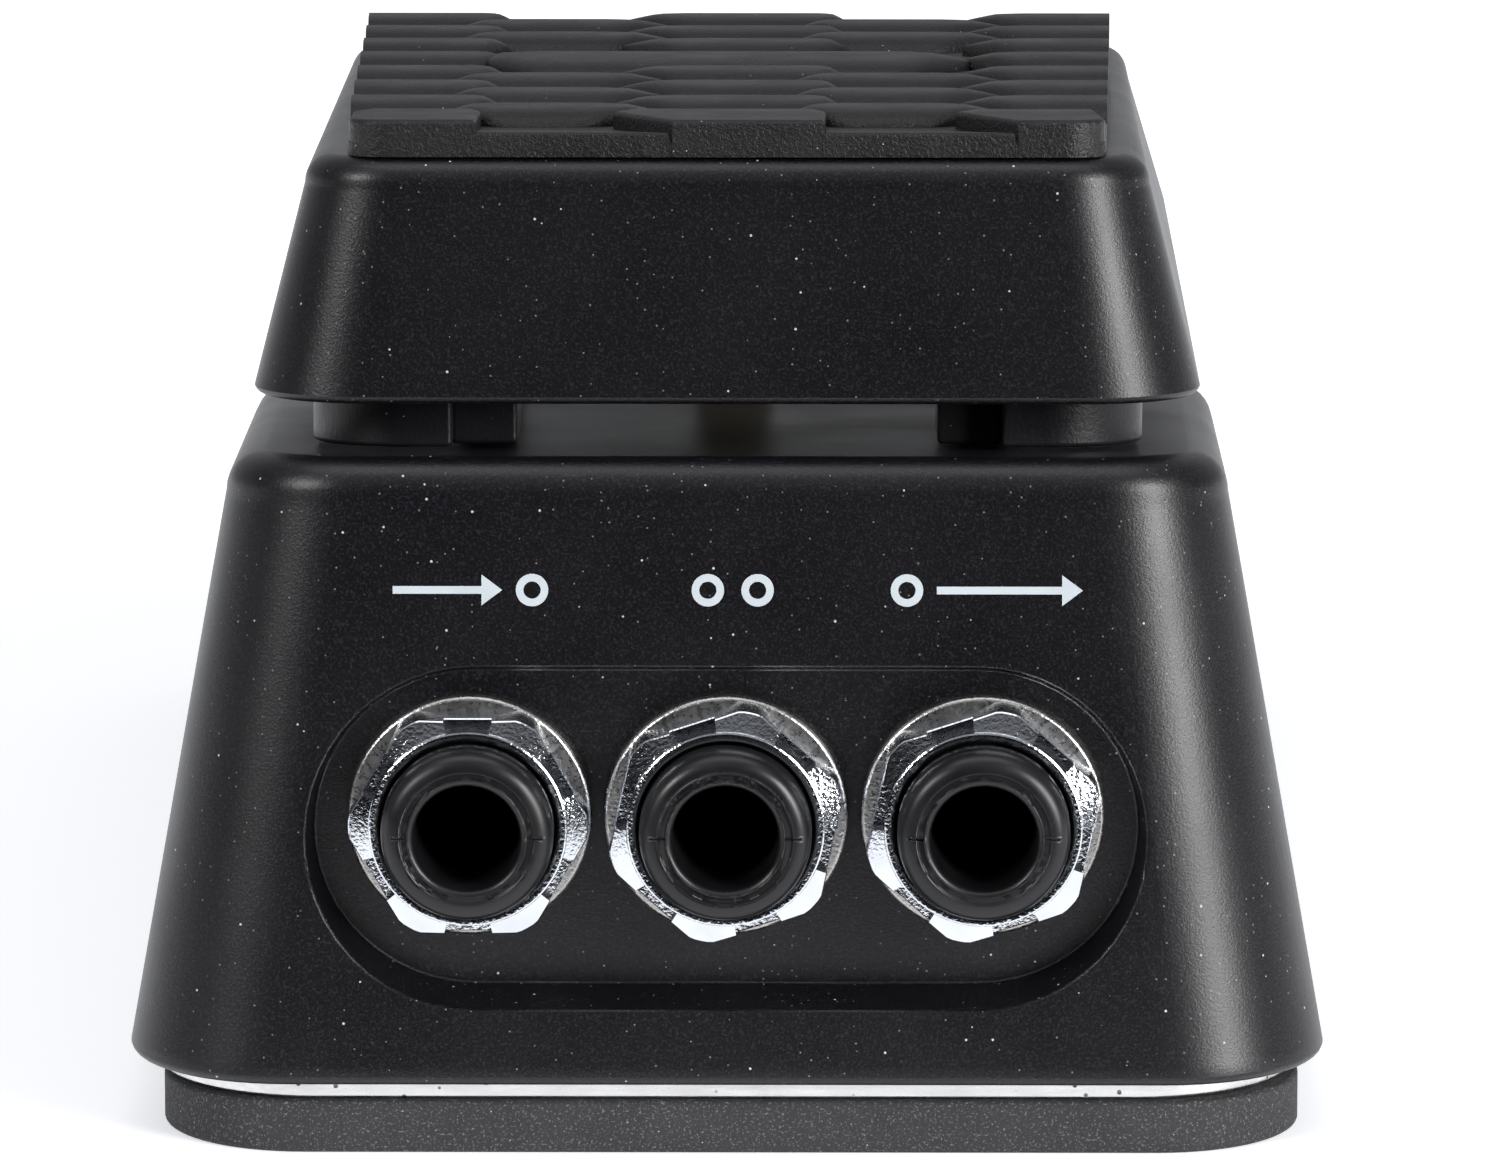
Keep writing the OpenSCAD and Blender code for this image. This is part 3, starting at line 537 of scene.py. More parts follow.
def moulded_plastic(name, base, rough=0.35, variation=1.25):
    """Moulded plastic or lacquer with a faint flow pattern and very fine grain."""
    s = Surface(name).set(Metallic=0.0, IOR=1.48)
    flow = s.noise(2.5, detail=3.0)
    s.colour(s.blend(s.remap(flow, 0.3, 0.7), base, tuple(min(c * variation, 1.0) for c in base)))
    s.rough(s.remap(flow, 0.3, 0.7, rough * 0.85, rough * 1.15))
    s.bump(s.noise(0.12, detail=1.0), 0.006, 0.4)
    return s.material


# ---------------------------------------------------------------- forms of the two castings

chassis_low, chassis_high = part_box("chassis_shell")
BASE_HALF_W = chassis_high.x / MM
BASE_HALF_L = chassis_high.y / MM
BASE_Z = chassis_low.z / MM


def half_w(z):
    return BASE_HALF_W - (z - BASE_Z) * math.tan(DRAFT)


def half_l(z):
    return BASE_HALF_L - (z - BASE_Z) * math.tan(DRAFT)


def crest(y):
    """Height of the chassis top, with a softened ridge over the pivot."""
    mean, bend = (TOE_SLOPE + HEEL_SLOPE) / 2, (HEEL_SLOPE - TOE_SLOPE) / 2
    return CREST_Z - mean * y - bend * math.hypot(y, CREST_BLEND)


def skirt_z(y):
    return SKIRT_TOE_Z - (y - SKIRT_Y[0]) * SKIRT_SLOPE


def roof_z(y):
    return SHOULDER_Z - (y - SHOULDER_Y[0]) * ROOF_SLOPE


def lerp_pair(pair, span, y):
    return pair[0] + (pair[1] - pair[0]) * (y - span[0]) / (span[1] - span[0])


def outline(width_at, toe_y, heel_y, radius, stations, arc=14):
    """Plan points and outward normals, from the toe edge's middle round by +X. Widths are half widths."""
    toe_c = (width_at(toe_y + radius) - radius, toe_y + radius)
    heel_c = (width_at(heel_y - radius) - radius, heel_y - radius)
    right = [((0.0, toe_y), (0.0, -1.0)), ((toe_c[0] - STRIP, toe_y), (0.0, -1.0))]
    for k in range(arc + 1):
        a = math.pi / 2 * k / arc
        n = (math.sin(a), -math.cos(a))
        right.append(((toe_c[0] + radius * n[0], toe_c[1] + radius * n[1]), n))
    for y in [toe_c[1] + STRIP, *stations, heel_c[1] - STRIP]:
        right.append(((width_at(y), y), (1.0, 0.0)))
    for k in range(arc + 1):
        a = math.pi / 2 * k / arc
        n = (math.cos(a), math.sin(a))
        right.append(((heel_c[0] + radius * n[0], heel_c[1] + radius * n[1]), n))
    right.append(((heel_c[0] - STRIP, heel_y), (0.0, 1.0)))
    right.append(((0.0, heel_y), (0.0, 1.0)))
    left = [((-p[0], p[1]), (-n[0], n[1])) for p, n in reversed(right[1:-1])]
    return right + left


def between(low, high):
    """Two rings on a wall, close to its lower and upper rounds, so that the wall between them shades flat."""
    rings = []
    for t in (0.02, 0.98):
        rings.append([tuple(a + (b - a) * t for a, b in zip(p, q)) for p, q in zip(low, high)])
    return rings


def shifted(points, inset, z_at):
    """The outline moved in along its normals, at the heights that z_at gives."""
    ring = []
    for (x, y), (nx, ny) in points:
        px, py = x - nx * inset, y - ny * inset
        ring.append((px, py, z_at(py)))
    return ring


def arc_steps(start, end, count):
    return [math.radians(start + (end - start) * k / count) for k in range(count + 1)]


CHASSIS_STATIONS = [-48, -32, -18, -10, -6, -3, -1, 1, 3, 6, 10, 18, 32, 48]
ROCKER_STATIONS = [-45, -30, -15, 0, 15, 30, 45]


def wedge_rings(inset, low_z, edge_round):
    """Rings of the chassis form, from its lower edge to the inside of its top round."""
    rim = max(TOP_ROUND - inset, 0.5)

    def side_z(y):
        return crest(y) - inset - rim

    toe_y = -(half_l(side_z(TOP_Y[0])) - inset)
    heel_y = half_l(side_z(TOP_Y[1])) - inset
    low = outline(lambda y: half_w(low_z) - inset, -(half_l(low_z) - inset), half_l(low_z) - inset,
                  BASE_CORNER_R - inset, CHASSIS_STATIONS)
    top = outline(lambda y: half_w(side_z(y)) - inset, toe_y, heel_y, TOP_CORNER_R - inset, CHASSIS_STATIONS)
    rings = []
    if edge_round:
        for a in arc_steps(-90, -math.degrees(DRAFT), 5):
            z = low_z + edge_round * (1 + math.sin(a))
            rings.append(shifted(low, edge_round * (1 - math.cos(a)), lambda y, z=z: z))
    else:
        rings.append(shifted(low, 0.0, lambda y: low_z))
    upper = []
    for a in arc_steps(0, 90, 8):
        lift = rim * math.sin(a)
        upper.append(shifted(top, rim * (1 - math.cos(a)), lambda y, lift=lift: side_z(y) + lift))
    return rings + between(rings[-1], upper[0]) + upper


def rocker_rings(inset, roof_drop, low_drop, edge_round):
    """Rings of the rocker form, from the skirt's edge to the inside of its top round."""
    rim = max(SHOULDER_ROUND - inset, 0.5)
    low = outline(lambda y: lerp_pair(SKIRT_HALF_W, SKIRT_Y, y) - inset, SKIRT_Y[0] + inset,
                  SKIRT_Y[1] - inset, SKIRT_CORNER_R - inset, ROCKER_STATIONS)
    top = outline(lambda y: lerp_pair(SHOULDER_HALF_W, SHOULDER_Y, y) - inset, SHOULDER_Y[0] + inset,
                  SHOULDER_Y[1] - inset, SHOULDER_CORNER_R - inset, ROCKER_STATIONS)
    rings = []
    if edge_round:
        for a in arc_steps(-90, -SKIRT_LEAN_DEG, 4):
            lift = edge_round * (1 + math.sin(a))
            rings.append(shifted(low, edge_round * (1 - math.cos(a)), lambda y, lift=lift: skirt_z(y) + lift))
    else:
        rings.append(shifted(low, 0.0, lambda y: skirt_z(y) - low_drop))
    upper = []
    for a in arc_steps(0, 90, 8):
        lift = rim * math.sin(a) - rim - roof_drop
        upper.append(shifted(top, rim * (1 - math.cos(a)), lambda y, lift=lift: roof_z(y) + lift))
    return rings + between(rings[-1], upper[0]) + upper


def stadium_tool(y_front, y_back, grow_front, grow_back, length, height, centre_z, arc=24):
    """A stadium prism along Y whose outline may grow or shrink from front to back."""
    rings = []
    for y, grow in ((y_front, grow_front), (y_back, grow_back)):
        ring = []
        r = height / 2 + grow
        reach = (length - height) / 2
        for side in (1, -1):
            for k in range(arc + 1):
                a = -math.pi / 2 + math.pi * k / arc
                ring.append((side * (reach + r * math.cos(a)), y, centre_z + side * r * math.sin(a)))
        rings.append(ring)
    return from_bmesh("tool", skin(rings))


# ---------------------------------------------------------------- pieces

JACKS = ["input", "aux", "output"]


def centre_of(node):
    low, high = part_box(node)
    return (low + high) / 2 / MM


def screw_places():
    """Where the four bottom screws stand."""
    low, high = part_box("bottom_screws")
    x = high.x / MM - SCREW_HEAD_R
    rows = (low.y / MM + SCREW_HEAD_R, high.y / MM - SCREW_HEAD_R)
    return [(s * x, y) for s in (-1, 1) for y in rows]


def chassis_adds():
    """Bosses for the bottom screws, posts for the bracket, the tension screw's block and the axle's lugs."""
    axis_z = PIVOT.z / MM
    adds = []
    for x, y in screw_places():
        top_z = min(crest(y) - BOSS_REACH, BOSS_TOP_Z)
        adds.append(rod_tool((x, y, BASE_Z + 0.02), (x, y, top_z), BOSS_R, 32))
    for y in BRACKET_Y:
        adds.append(rod_tool((BRACKET_X, y, 30.5), (BRACKET_X, y, crest(y) - BOSS_REACH), BOSS_R, 32))
    adds.append(box_tool((-15, -4.5, 22), (-9, 4.5, CREST_Z - 1.5)))
    for s in (-1, 1):
        x0, x1 = sorted(s * x for x in LUG_X)
        adds.append(box_tool((x0, -LUG_R, CREST_Z - 1.6), (x1, LUG_R, axis_z)))
        adds.append(rod_tool((x0, 0, axis_z), (x1, 0, axis_z), LUG_R))
    return adds


def chassis_cuts(recess_z, face_y, floor_y):
    """The jack recess and its holes, the slot for the drive sector, and the axle's and the screws' holes."""
    axis_z = PIVOT.z / MM
    reach = (face_y - OUTSIDE_Y) * RECESS_DRAFT
    depth = (floor_y - face_y) * RECESS_DRAFT
    cuts = [stadium_tool(OUTSIDE_Y, floor_y, reach, -depth, RECESS_L, RECESS_H, recess_z)]
    for name in JACKS:
        c = centre_of(name + "_jack")
        cuts.append(rod_tool((c.x, floor_y - 2, c.z), (c.x, floor_y + 6, c.z), JACK_HOLE_R))
    cuts.append(box_tool((-6, -10, CREST_Z - 8), (6, 10, CREST_Z + 5)))
    cuts.append(rod_tool((-19, 0, axis_z), (19, 0, axis_z), AXLE_HOLE_R))
    cuts.append(rod_tool((-16, 0, 26), (-8, 0, 26), 2.0, 32))
    for y in BRACKET_Y:
        cuts.append(rod_tool((BRACKET_X, y, 30.0), (BRACKET_X, y, 33.8), PILOT_R, 24))
    for x, y in screw_places():
        cuts.append(rod_tool((x, y, BASE_Z - 1), (x, y, BASE_Z + 10), PILOT_R, 24))
    return cuts


def make_chassis(material):
    """The wedge casting: hollow below, with the jack recess, its panel, bosses and the lugs for the axle."""
    floor_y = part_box("input_washer")[1].y / MM
    recess_z = centre_of("input_jack").z - RECESS_DROP
    body = from_bmesh("chassis_casting", skin(wedge_rings(0.0, BASE_Z, BASE_ROUND), mirrored_caps=True))
    hollow = from_bmesh("tool", skin(wedge_rings(WALL, BASE_Z - 1.0, 0.0), mirrored_caps=True))
    panel = stadium_tool(OUTSIDE_Y, floor_y + PANEL_T, 2.2, 2.2, RECESS_L, RECESS_H, recess_z)
    combine(hollow, [panel], "DIFFERENCE")
    combine(body, [hollow], "DIFFERENCE")
    combine(body, chassis_adds(), "UNION")
    combine(body, chassis_cuts(recess_z, -half_l(recess_z), floor_y), "DIFFERENCE")

    def at_recess(p):
        return p.y < floor_y + 0.1 and abs(p.x) < 30 and 8 < p.z < 32

    soften(body, 0.22, 2, 32, at_recess, clamp=False)
    return finish_piece(body, material, "chassis", ["chassis_shell"])


def make_rocker(material):
    """The rocker casting: a drafted hood with the axle's lugs, the bumpers' posts and the sector's block."""
    body = from_bmesh("rocker_casting", skin(rocker_rings(0.0, 0.0, 0.0, SKIRT_ROUND), mirrored_caps=True))
    hollow = from_bmesh("tool", skin(rocker_rings(ROCKER_WALL, ROOF_T, 0.6, 0.0), mirrored_caps=True))
    combine(body, [hollow], "DIFFERENCE")
    axis_z = PIVOT.z / MM
    lug_r = ROCKER_LUG_R
    adds = []
    for s in (-1, 1):
        x0, x1 = sorted(s * x for x in ROCKER_LUG_X)
        adds.append(box_tool((x0, -lug_r, axis_z), (x1, lug_r, roof_z(0) - BOSS_REACH)))
        adds.append(rod_tool((x0, 0, axis_z), (x1, 0, axis_z), lug_r))
        for y, low_z in ((-52.5, 49.5), (50.5, 41.0)):
            adds.append(rod_tool((s * 21.4, y, low_z), (s * 21.4, y, roof_z(y) - BOSS_REACH), 4.0, 32))
    adds.append(box_tool((-9, -8, 50.5), (9, 8, roof_z(8) - 1.0)))
    combine(body, adds, "UNION")
    cuts = [rod_tool((s * 18, 0, axis_z), (s * 24, 0, axis_z), BUSHING_HOLE_R) for s in (-1, 1)]
    combine(body, cuts, "DIFFERENCE")
    soften(body, 0.1, 1, 32, lambda p: False)
    return finish_piece(body, material, "rocker", ["rocker_shell"])


def nut_profile(hex_r, depth, notched):
    """Half a cut through the nut, from the bore to the hex side: (radius, distance back from its front)."""
    crown = 0.19 + (hex_r - 6.1) * NUT_CROWN_SLOPE
    sunk = NOTCH_DEPTH if notched else 0.0
    return [(5.30, depth), (5.30, 0.5), (5.36, 0.18), (5.46, 0.05), (5.60, 0.0), (5.86, 0.0), (5.95, 0.05),
            (6.00, max(0.15, sunk)), (6.10, max(0.19, sunk)), (hex_r - 0.07, max(crown - 0.03, sunk)),
            (hex_r, max(crown + 0.06, sunk + 0.07)), (hex_r, depth)]


def nut_folds():
    """Angles from a flat's middle over one sixth of the nut, each with whether the notch is there."""
    land = (NOTCH_DEG, 16, 20, 24, 27)
    wall = NOTCH_DEG - 0.3
    folds = [(-30, False)] + [(-a, False) for a in reversed(land)]
    folds += [(a, True) for a in (-wall, *range(-9, 10, 3), wall)]
    return folds + [(a, False) for a in land]


def make_nut(name, material, turn_deg):
    """A hex nut with a raised ring round its bore, sloping corners and a notch in each flat's middle."""
    low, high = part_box(name)
    front = low.y / MM - NUT_LIFT
    depth = high.y / MM - front
    c = centre_of(name.replace("nut", "jack"))
    bm = bmesh.new()
    spokes = []
    for k in range(6):
        for fold, notched in nut_folds():
            a = math.radians(turn_deg + 60 * k + fold)
            hex_r = min(NUT_HALF_FLATS / math.cos(math.radians(fold)), NUT_CORNER_R)
            spokes.append([bm.verts.new((c.x + r * math.sin(a), front + d, c.z + r * math.cos(a)))
                           for r, d in nut_profile(hex_r, depth, notched)])
    for here, there in zip(spokes, spokes[1:] + spokes[:1]):
        bridge(bm, here, there)
    nut = from_bmesh(name + "_hex", bm)
    soften(nut, 0.05, 1, 28, lambda p: False)
    return finish_piece(nut, material, "chassis", [name])


def make_washer(name, material):
    low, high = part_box(name)
    c = centre_of(name)
    r, t = (high.x - low.x) / 2 / MM, (high.y - low.y) / MM
    profile = [(5.35, 0.0), (5.3, 0.1), (5.3, t - 0.1), (5.4, t), (r - 0.3, t), (r - 0.08, t - 0.12),
               (r, t - 0.35), (r, 0.2), (r - 0.2, 0.0)]
    washer = lathe(profile, (c.x, high.y / MM, c.z), 96, name + "_ring")
    soften(washer, 0.05, 1, 50)
    return finish_piece(washer, material, "chassis", [name])


def nose_profile(length):
    """The nose's cut as (radius, distance in front of its face): the hole, a step, the rim and the thread."""
    hole_r = PLUG_HOLE_R
    face = [(hole_r, 0.55), (hole_r + 0.03, 0.3), (hole_r + 0.12, 0.12), (hole_r + 0.26, 0.03), (3.56, 0.0),
            (3.62, 0.05), (3.66, 0.16), (3.94, 0.18), (4.00, 0.10), (4.08, 0.03), (4.25, 0.04), (4.50, 0.10),
            (4.72, 0.22), (4.90, 0.38), (5.04, 0.60), (5.14, 0.90), (NOSE_R, 1.3)]
    thread = []
    for k in range(4):
        start = 2.1 + 0.8 * k
        thread += [(NOSE_R, start), (THREAD_ROOT_R, start + 0.26), (THREAD_ROOT_R, start + 0.4),
                   (NOSE_R, start + 0.66)]
    back = [(NOSE_R, length), (hole_r, length)]
    return [(r, -d) for r, d in face + thread + back]


def make_jack(name, material):
    """A jack: the housing behind the panel, the threaded nose with its stepped face, and the plug hole."""
    low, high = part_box(name)
    front, back = low.y / MM, high.y / MM
    c = centre_of(name)
    panel_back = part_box("input_washer")[1].y / MM + PANEL_T
    nose = lathe(nose_profile(panel_back - front + 1.0), (c.x, front, c.z), 128, name + "_housing")
    housing = box_tool((low.x / MM, panel_back, low.z / MM), (high.x / MM, back, high.z / MM))
    plug_way = rod_tool((c.x, panel_back - 1, c.z), (c.x, front + PLUG_HOLE_DEPTH, c.z), PLUG_HOLE_R, 128)
    spring_slot = box_tool((c.x - 1.5, -53, c.z + 2), (c.x + 1.5, -44, c.z + 12))
    combine(housing, [plug_way, spring_slot], "DIFFERENCE")
    combine(nose, [housing], "UNION")
    seams = []
    for side in (-1, 1):
        x0, x1 = sorted((c.x + side * 3.6, c.x + side * 4.55))
        seams.append(box_tool((x0, front - 0.5, c.z - 0.04), (x1, front + 0.22, c.z + 0.04)))
    combine(nose, seams, "DIFFERENCE")
    soften(nose, 0.05, 2, 32)
    return finish_piece(nose, material, "chassis", [name])


def make_slab(name, node, material, corner_r, round_r, hole_r, inset=0.0, aside=0.0):
    """A flat sheet with round corners, softened edges and a hole for each bottom screw."""
    low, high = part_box(node)
    hw, hl = high.x / MM - inset - aside, high.y / MM - inset
    z0, z1 = low.z / MM, high.z / MM
    points = [((x + aside, y), n) for (x, y), n in outline(lambda y: hw, -hl, hl, corner_r, [], arc=16)]
    rings = []
    for a in arc_steps(-90, 0, 4):
        z = z0 + round_r * (1 + math.sin(a))
        rings.append(shifted(points, round_r * (1 - math.cos(a)), lambda y, z=z: z))
    for a in arc_steps(0, 90, 4):
        z = z1 - round_r * (1 - math.sin(a))
        rings.append(shifted(points, round_r * (1 - math.cos(a)), lambda y, z=z: z))
    slab = from_bmesh(name, skin(rings))
    cuts = [rod_tool((x, y, z0 - 1), (x, y, z1 + 1), hole_r, 48) for x, y in screw_places()]
    combine(slab, cuts, "DIFFERENCE")
    soften(slab, 0.15, 2, 40)
    return finish_piece(slab, material, "chassis", [node])


def on_roof(x, y, z):
    """A point on the rocker's roof: x across, y along from the toe shoulder, z out of it."""
    along, up = math.cos(math.radians(ROOF_SLOPE_DEG)), math.sin(math.radians(-ROOF_SLOPE_DEG))
    return (x, SHOULDER_Y[0] + y * along - z * up, SHOULDER_Z + y * up + z * along)


def tread_spread(y):
    return 1 + (TREAD_HALF_W[1] / TREAD_HALF_W[0] - 1) * y / TREAD_Y[1]


def rib_rows(x0, x1, y, half_depth, taper0, taper1, height=RIB_H, along=26, across=16):
    """Rows of points over a rib: long in x, rounded across, and narrowed to a point where it has a taper."""
    rows = []
    for i in range(along + 1):
        t = (1 - math.cos(math.pi * i / along)) / 2
        x = x0 + (x1 - x0) * t
        w = 1.0
        if taper0 and x < x0 + taper0:
            w = min(w, (x - x0) / taper0)
        if taper1 and x > x1 - taper1:
            w = min(w, (x1 - x) / taper1)
        w = 0.03 + 0.97 * w ** 0.85
        row = []
        for j in range(across + 1):
            a = -1 + 2 * j / across
            s = math.copysign(1 - (1 - abs(a)) ** 1.6, a)
            hump = (1 - abs(s) ** 4) ** 0.5
            rise = height * (0.55 + 0.45 * min(1.0, w * 1.6)) * hump
            row.append((x, y + s * half_depth * w, rise))
        rows.append(row)
    return rows


def add_rib(bm, rows):
    """Closes a rib down into the tread's sheet. Nothing reaches past the tread's ends or its front edge."""
    grid, base = [], []
    for row in rows:
        top, bottom = [], []
        for x, y, rise in row:
            y = min(max(y, TREAD_Y[0]), TREAD_Y[1])
            across = x * tread_spread(y)
            top.append(bm.verts.new(on_roof(across, y, TREAD_SHEET + rise)))
            bottom.append(bm.verts.new(on_roof(across, y, TREAD_SHEET - 0.3)))
        grid.append(top)
        base.append(bottom)
    for a, b, c, d in zip(grid, grid[1:], base, base[1:]):
        for j in range(len(a) - 1):
            bm.faces.new((a[j], a[j + 1], b[j + 1], b[j]))
            bm.faces.new((c[j], d[j], d[j + 1], c[j + 1]))
        bm.faces.new((a[0], b[0], d[0], c[0]))
        bm.faces.new((a[-1], c[-1], d[-1], b[-1]))
    for a, c in ((grid[0], base[0]), (grid[-1], base[-1])):
        for j in range(len(a) - 1):
            bm.faces.new((a[j], a[j + 1], c[j + 1], c[j]))


def add_front_piece(bm, plan, top, edge_r):
    """A raised piece that the tread's front edge cuts flat, from its plan and the height of its top."""
    count = len(plan)
    mid = Vector((sum(x for x, y in plan) / count, sum(y for x, y in plan) / count))
    front = min(y for x, y in plan)
    loops = []
    for z, inset in ((0.02, 0.0), (top - edge_r, 0.0), (top - edge_r * 0.6, edge_r * 0.1),
                     (top - edge_r * 0.25, edge_r * 0.35), (top, edge_r)):
        loop = []
        for x, y in plan:
            pull = (mid - Vector((x, y))).normalized() * inset
            loop.append(bm.verts.new(on_roof(x + pull.x, max(y + pull.y, front + inset * 0.8), z)))
        loops.append(loop)
    stack(bm, loops)


def quarter_arc(x, y, r, side):
    """Points round a front corner, from left to right. Side is -1 for the left corner and 1 for the right."""
    turns = [math.pi / 2 * k / 6 for k in range(7)]
    arc = [(x - side * r + side * r * math.sin(t), y + r - r * math.cos(t)) for t in turns]
    return arc if side > 0 else arc[::-1]


def add_front_row(bm, edge):
    """The ribs that the front edge cuts: three full blocks, and low pointed ledges between them."""
    front = TREAD_Y[0] - 0.04
    back = FIRST_RIB_Y + RIB_HALF_DEPTH - 0.6
    full = TREAD_SHEET + RIB_H
    for x0, x1, lean in ((-edge, -15.1, 0.0), (-7.0, 6.0, 3.7), (13.9, edge, 3.7)):
        left = [(x0 + lean, front)]
        if x0 == -edge:
            left = quarter_arc(x0, front, TREAD_CORNER_R, -1)
        right = [(x1 - 0.1, front), (x1, back - 2.0)]
        if x1 == edge:
            right = quarter_arc(x1, front, TREAD_CORNER_R, 1)
        rear = [(x1 - 0.6, back), (x0 + 1.2, back), (x0, back - 2.6)]
        add_front_piece(bm, left + right + rear, full, 0.3)
    for x0, x1 in ((-15.3, -3.5), (5.8, 17.4)):
        plan = [(x0, front - 0.02), (x1, front - 0.02), (x1 - 3.6, front + 1.5), (x0, front + 2.2)]
        add_front_piece(bm, plan, TREAD_SHEET + 0.3, 0.2)


def add_sheet(bm):
    """The tread's sheet, with a rounded top edge at the front."""
    edge_r, top = 0.55, TREAD_SHEET
    rings = []
    for z, inset in ((0.0, 0.0), (top - edge_r, 0.0), (top - edge_r * 0.62, edge_r * 0.07),
                     (top - edge_r * 0.3, edge_r * 0.28), (top - edge_r * 0.08, edge_r * 0.62),
                     (top, edge_r)):
        points = outline(lambda y: lerp_pair(TREAD_HALF_W, TREAD_Y, y) - inset, TREAD_Y[0] + inset,
                         TREAD_Y[1] - inset, TREAD_CORNER_R, [], arc=6)
        rings.append([bm.verts.new(on_roof(*point, z)) for point, _ in points])
    stack(bm, rings)


def make_tread(material):
    """The moulded tread: columns of lens shaped ribs, half a pitch apart, and a plain pad in the middle."""
    edge = TREAD_HALF_W[0]
    # a column's left and right end, how long its ribs' points are there, and whether it is half a pitch on
    columns = [(-edge, -14.0, 0, 1.6, False), (-17.0, -4.0, 2.4, 3.9, True), (-7.0, 6.6, 3.6, 1.5, False),
               (3.8, 16.5, 2.4, 3.9, True), (13.9, edge, 3.6, 0, False)]
    bm = bmesh.new()
    add_sheet(bm)
    for x0, x1, taper0, taper1, odd in columns:
        for k in range(9):
            y = FIRST_RIB_Y + (k + 0.5 * odd) * RIB_PITCH
            under_pad = abs(y - PAD_Y) < 9 and abs(x0 + x1) < 28
            if under_pad or y + 2 > TREAD_Y[1] or (k == 0 and not odd):
                continue
            add_rib(bm, rib_rows(x0, x1, y, RIB_HALF_DEPTH, taper0, taper1))
    add_front_row(bm, edge)
    add_rib(bm, rib_rows(-16.4, 14.4, PAD_Y, 7.4, 4.0, 4.0, RIB_H * 0.97, 40, 20))
    tread = from_bmesh("tread_pad", bm)
    soften(tread, 0.12, 2, 50)
    return finish_piece(tread, material, "rocker", ["tread"])


def block_plan(x0, x1, y0, y1, corner_r, toe):
    """A block's outline with a round outer corner at the pedal's end."""
    near, far = (y1, y0) if toe else (y0, y1)
    sign = -1 if toe else 1
    cx, cy = x1 - corner_r, far - sign * corner_r
    plan = [(x0, near), (x0, far)]
    for a in arc_steps(0, 90, 12):
        plan.append((cx + corner_r * math.sin(a), cy + sign * corner_r * math.cos(a)))
    plan.append((x1, near))
    return plan


def add_block(bm, plan, side, bottom, top):
    lower = [bm.verts.new((side * x, y, bottom(y))) for x, y in plan]
    upper = [bm.verts.new((side * x, y, top)) for x, y in plan]
    stack(bm, [lower, upper])


def make_bumpers(material):
    """Rubber blocks with a round outer corner, under the rocker's corners. The toe's have an inner step."""
    def toe_floor(y):
        return CREST_Z + 0.25 - y * TOE_SLOPE

    def heel_floor(y):
        tip = math.radians(12.0)
        rise = math.tan(tip - math.atan(HEEL_SLOPE))
        drop = CREST_Z + 0.3 - PIVOT.z / MM
        return PIVOT.z / MM + drop * math.cos(tip) + (y + drop * math.sin(tip)) * rise

    for end, toe in (("toe", True), ("heel", False)):
        node = end + "_bumpers"
        low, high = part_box(node)
        bm = bmesh.new()
        for side in (-1, 1):
            plan = block_plan(16.7, high.x / MM, low.y / MM, high.y / MM, 6.0, toe)
            add_block(bm, plan, side, toe_floor if toe else heel_floor, high.z / MM)
        if toe:
            for side in (-1, 1):
                step = block_plan(12.8, 16.9, low.y / MM + 2.4, high.y / MM, 0.4, True)
                add_block(bm, step, side, toe_floor, high.z / MM - 1.0)
        blocks = from_bmesh(end + "_bumper_blocks", bm)
        soften(blocks, 0.3, 3, 35)
        finish_piece(blocks, material, "rocker", [node])


def sign_point(x, up):
    """A point just before the toe wall: x across, and up along the wall from the signs' middle line."""
    y = -half_l(SIGN_Z) + up * math.sin(DRAFT) - SIGN_GAP * math.cos(DRAFT)
    return Vector((x, y, SIGN_Z + up * math.cos(DRAFT)))


def add_sign(bm, outer, inner=None):
    """A thin flat shape from its outline, or the ring between two outlines of equal counts."""
    forward = Vector((0, -math.cos(DRAFT), -math.sin(DRAFT))) * SIGN_T
    outlines = [outer] if inner is None else [outer, inner]
    layers = []
    for shift in (Vector((0, 0, 0)), forward):
        layers.append([[bm.verts.new(sign_point(*p) + shift) for p in loop] for loop in outlines])
    for loops in layers:
        if inner is None:
            bm.faces.new(loops[0])
        else:
            bridge(bm, *loops)
    for low, high in zip(*layers):
        bridge(bm, low, high)


def circle(x, radius, count=40):
    turns = [2 * math.pi * k / count for k in range(count)]
    return [(x + radius * math.cos(a), radius * math.sin(a)) for a in turns]


def add_ring(bm, x):
    add_sign(bm, circle(x, SIGN_R), circle(x, SIGN_R - SIGN_STROKE))


def add_arrow(bm, x0, x1):
    half, barb = SIGN_STROKE / 2, SIGN_R * 0.95
    neck = x1 - 1.25
    add_sign(bm, [(x0, -half), (neck, -half), (neck, -barb), (x1, 0), (neck, barb), (neck, half), (x0, half)])


def make_symbols(material):
    """Plain white signs over the jacks: an arrow into a ring, two rings, and an arrow out of a ring."""
    for name in JACKS:
        x = centre_of(name + "_jack").x + SIGN_ASIDE
        bm = bmesh.new()
        if name == "input":
            add_arrow(bm, x - 5.0, x + 1.6)
            add_ring(bm, x + 3.4)
        elif name == "aux":
            add_ring(bm, x - 1.5)
            add_ring(bm, x + 1.5)
        else:
            add_ring(bm, x - 5.0)
            add_arrow(bm, x - 3.2, x + 5.6)
        finish_piece(from_bmesh(name + "_sign", bm), material, "chassis")


# ---------------------------------------------------------------- assembly

make_camera()
make_world()
make_floor()
make_softbox("key_right", 49, 16, 0.9, (0.29, 0.5), 8.4)
make_softbox("fill_left", -50, 28, 0.9, (0.22, 0.24), 3.2)
make_softbox("overhead", 0, 84, 1.0, (1.0, 0.6), 2.4)
bpy.context.scene.view_settings.view_transform = "Standard"

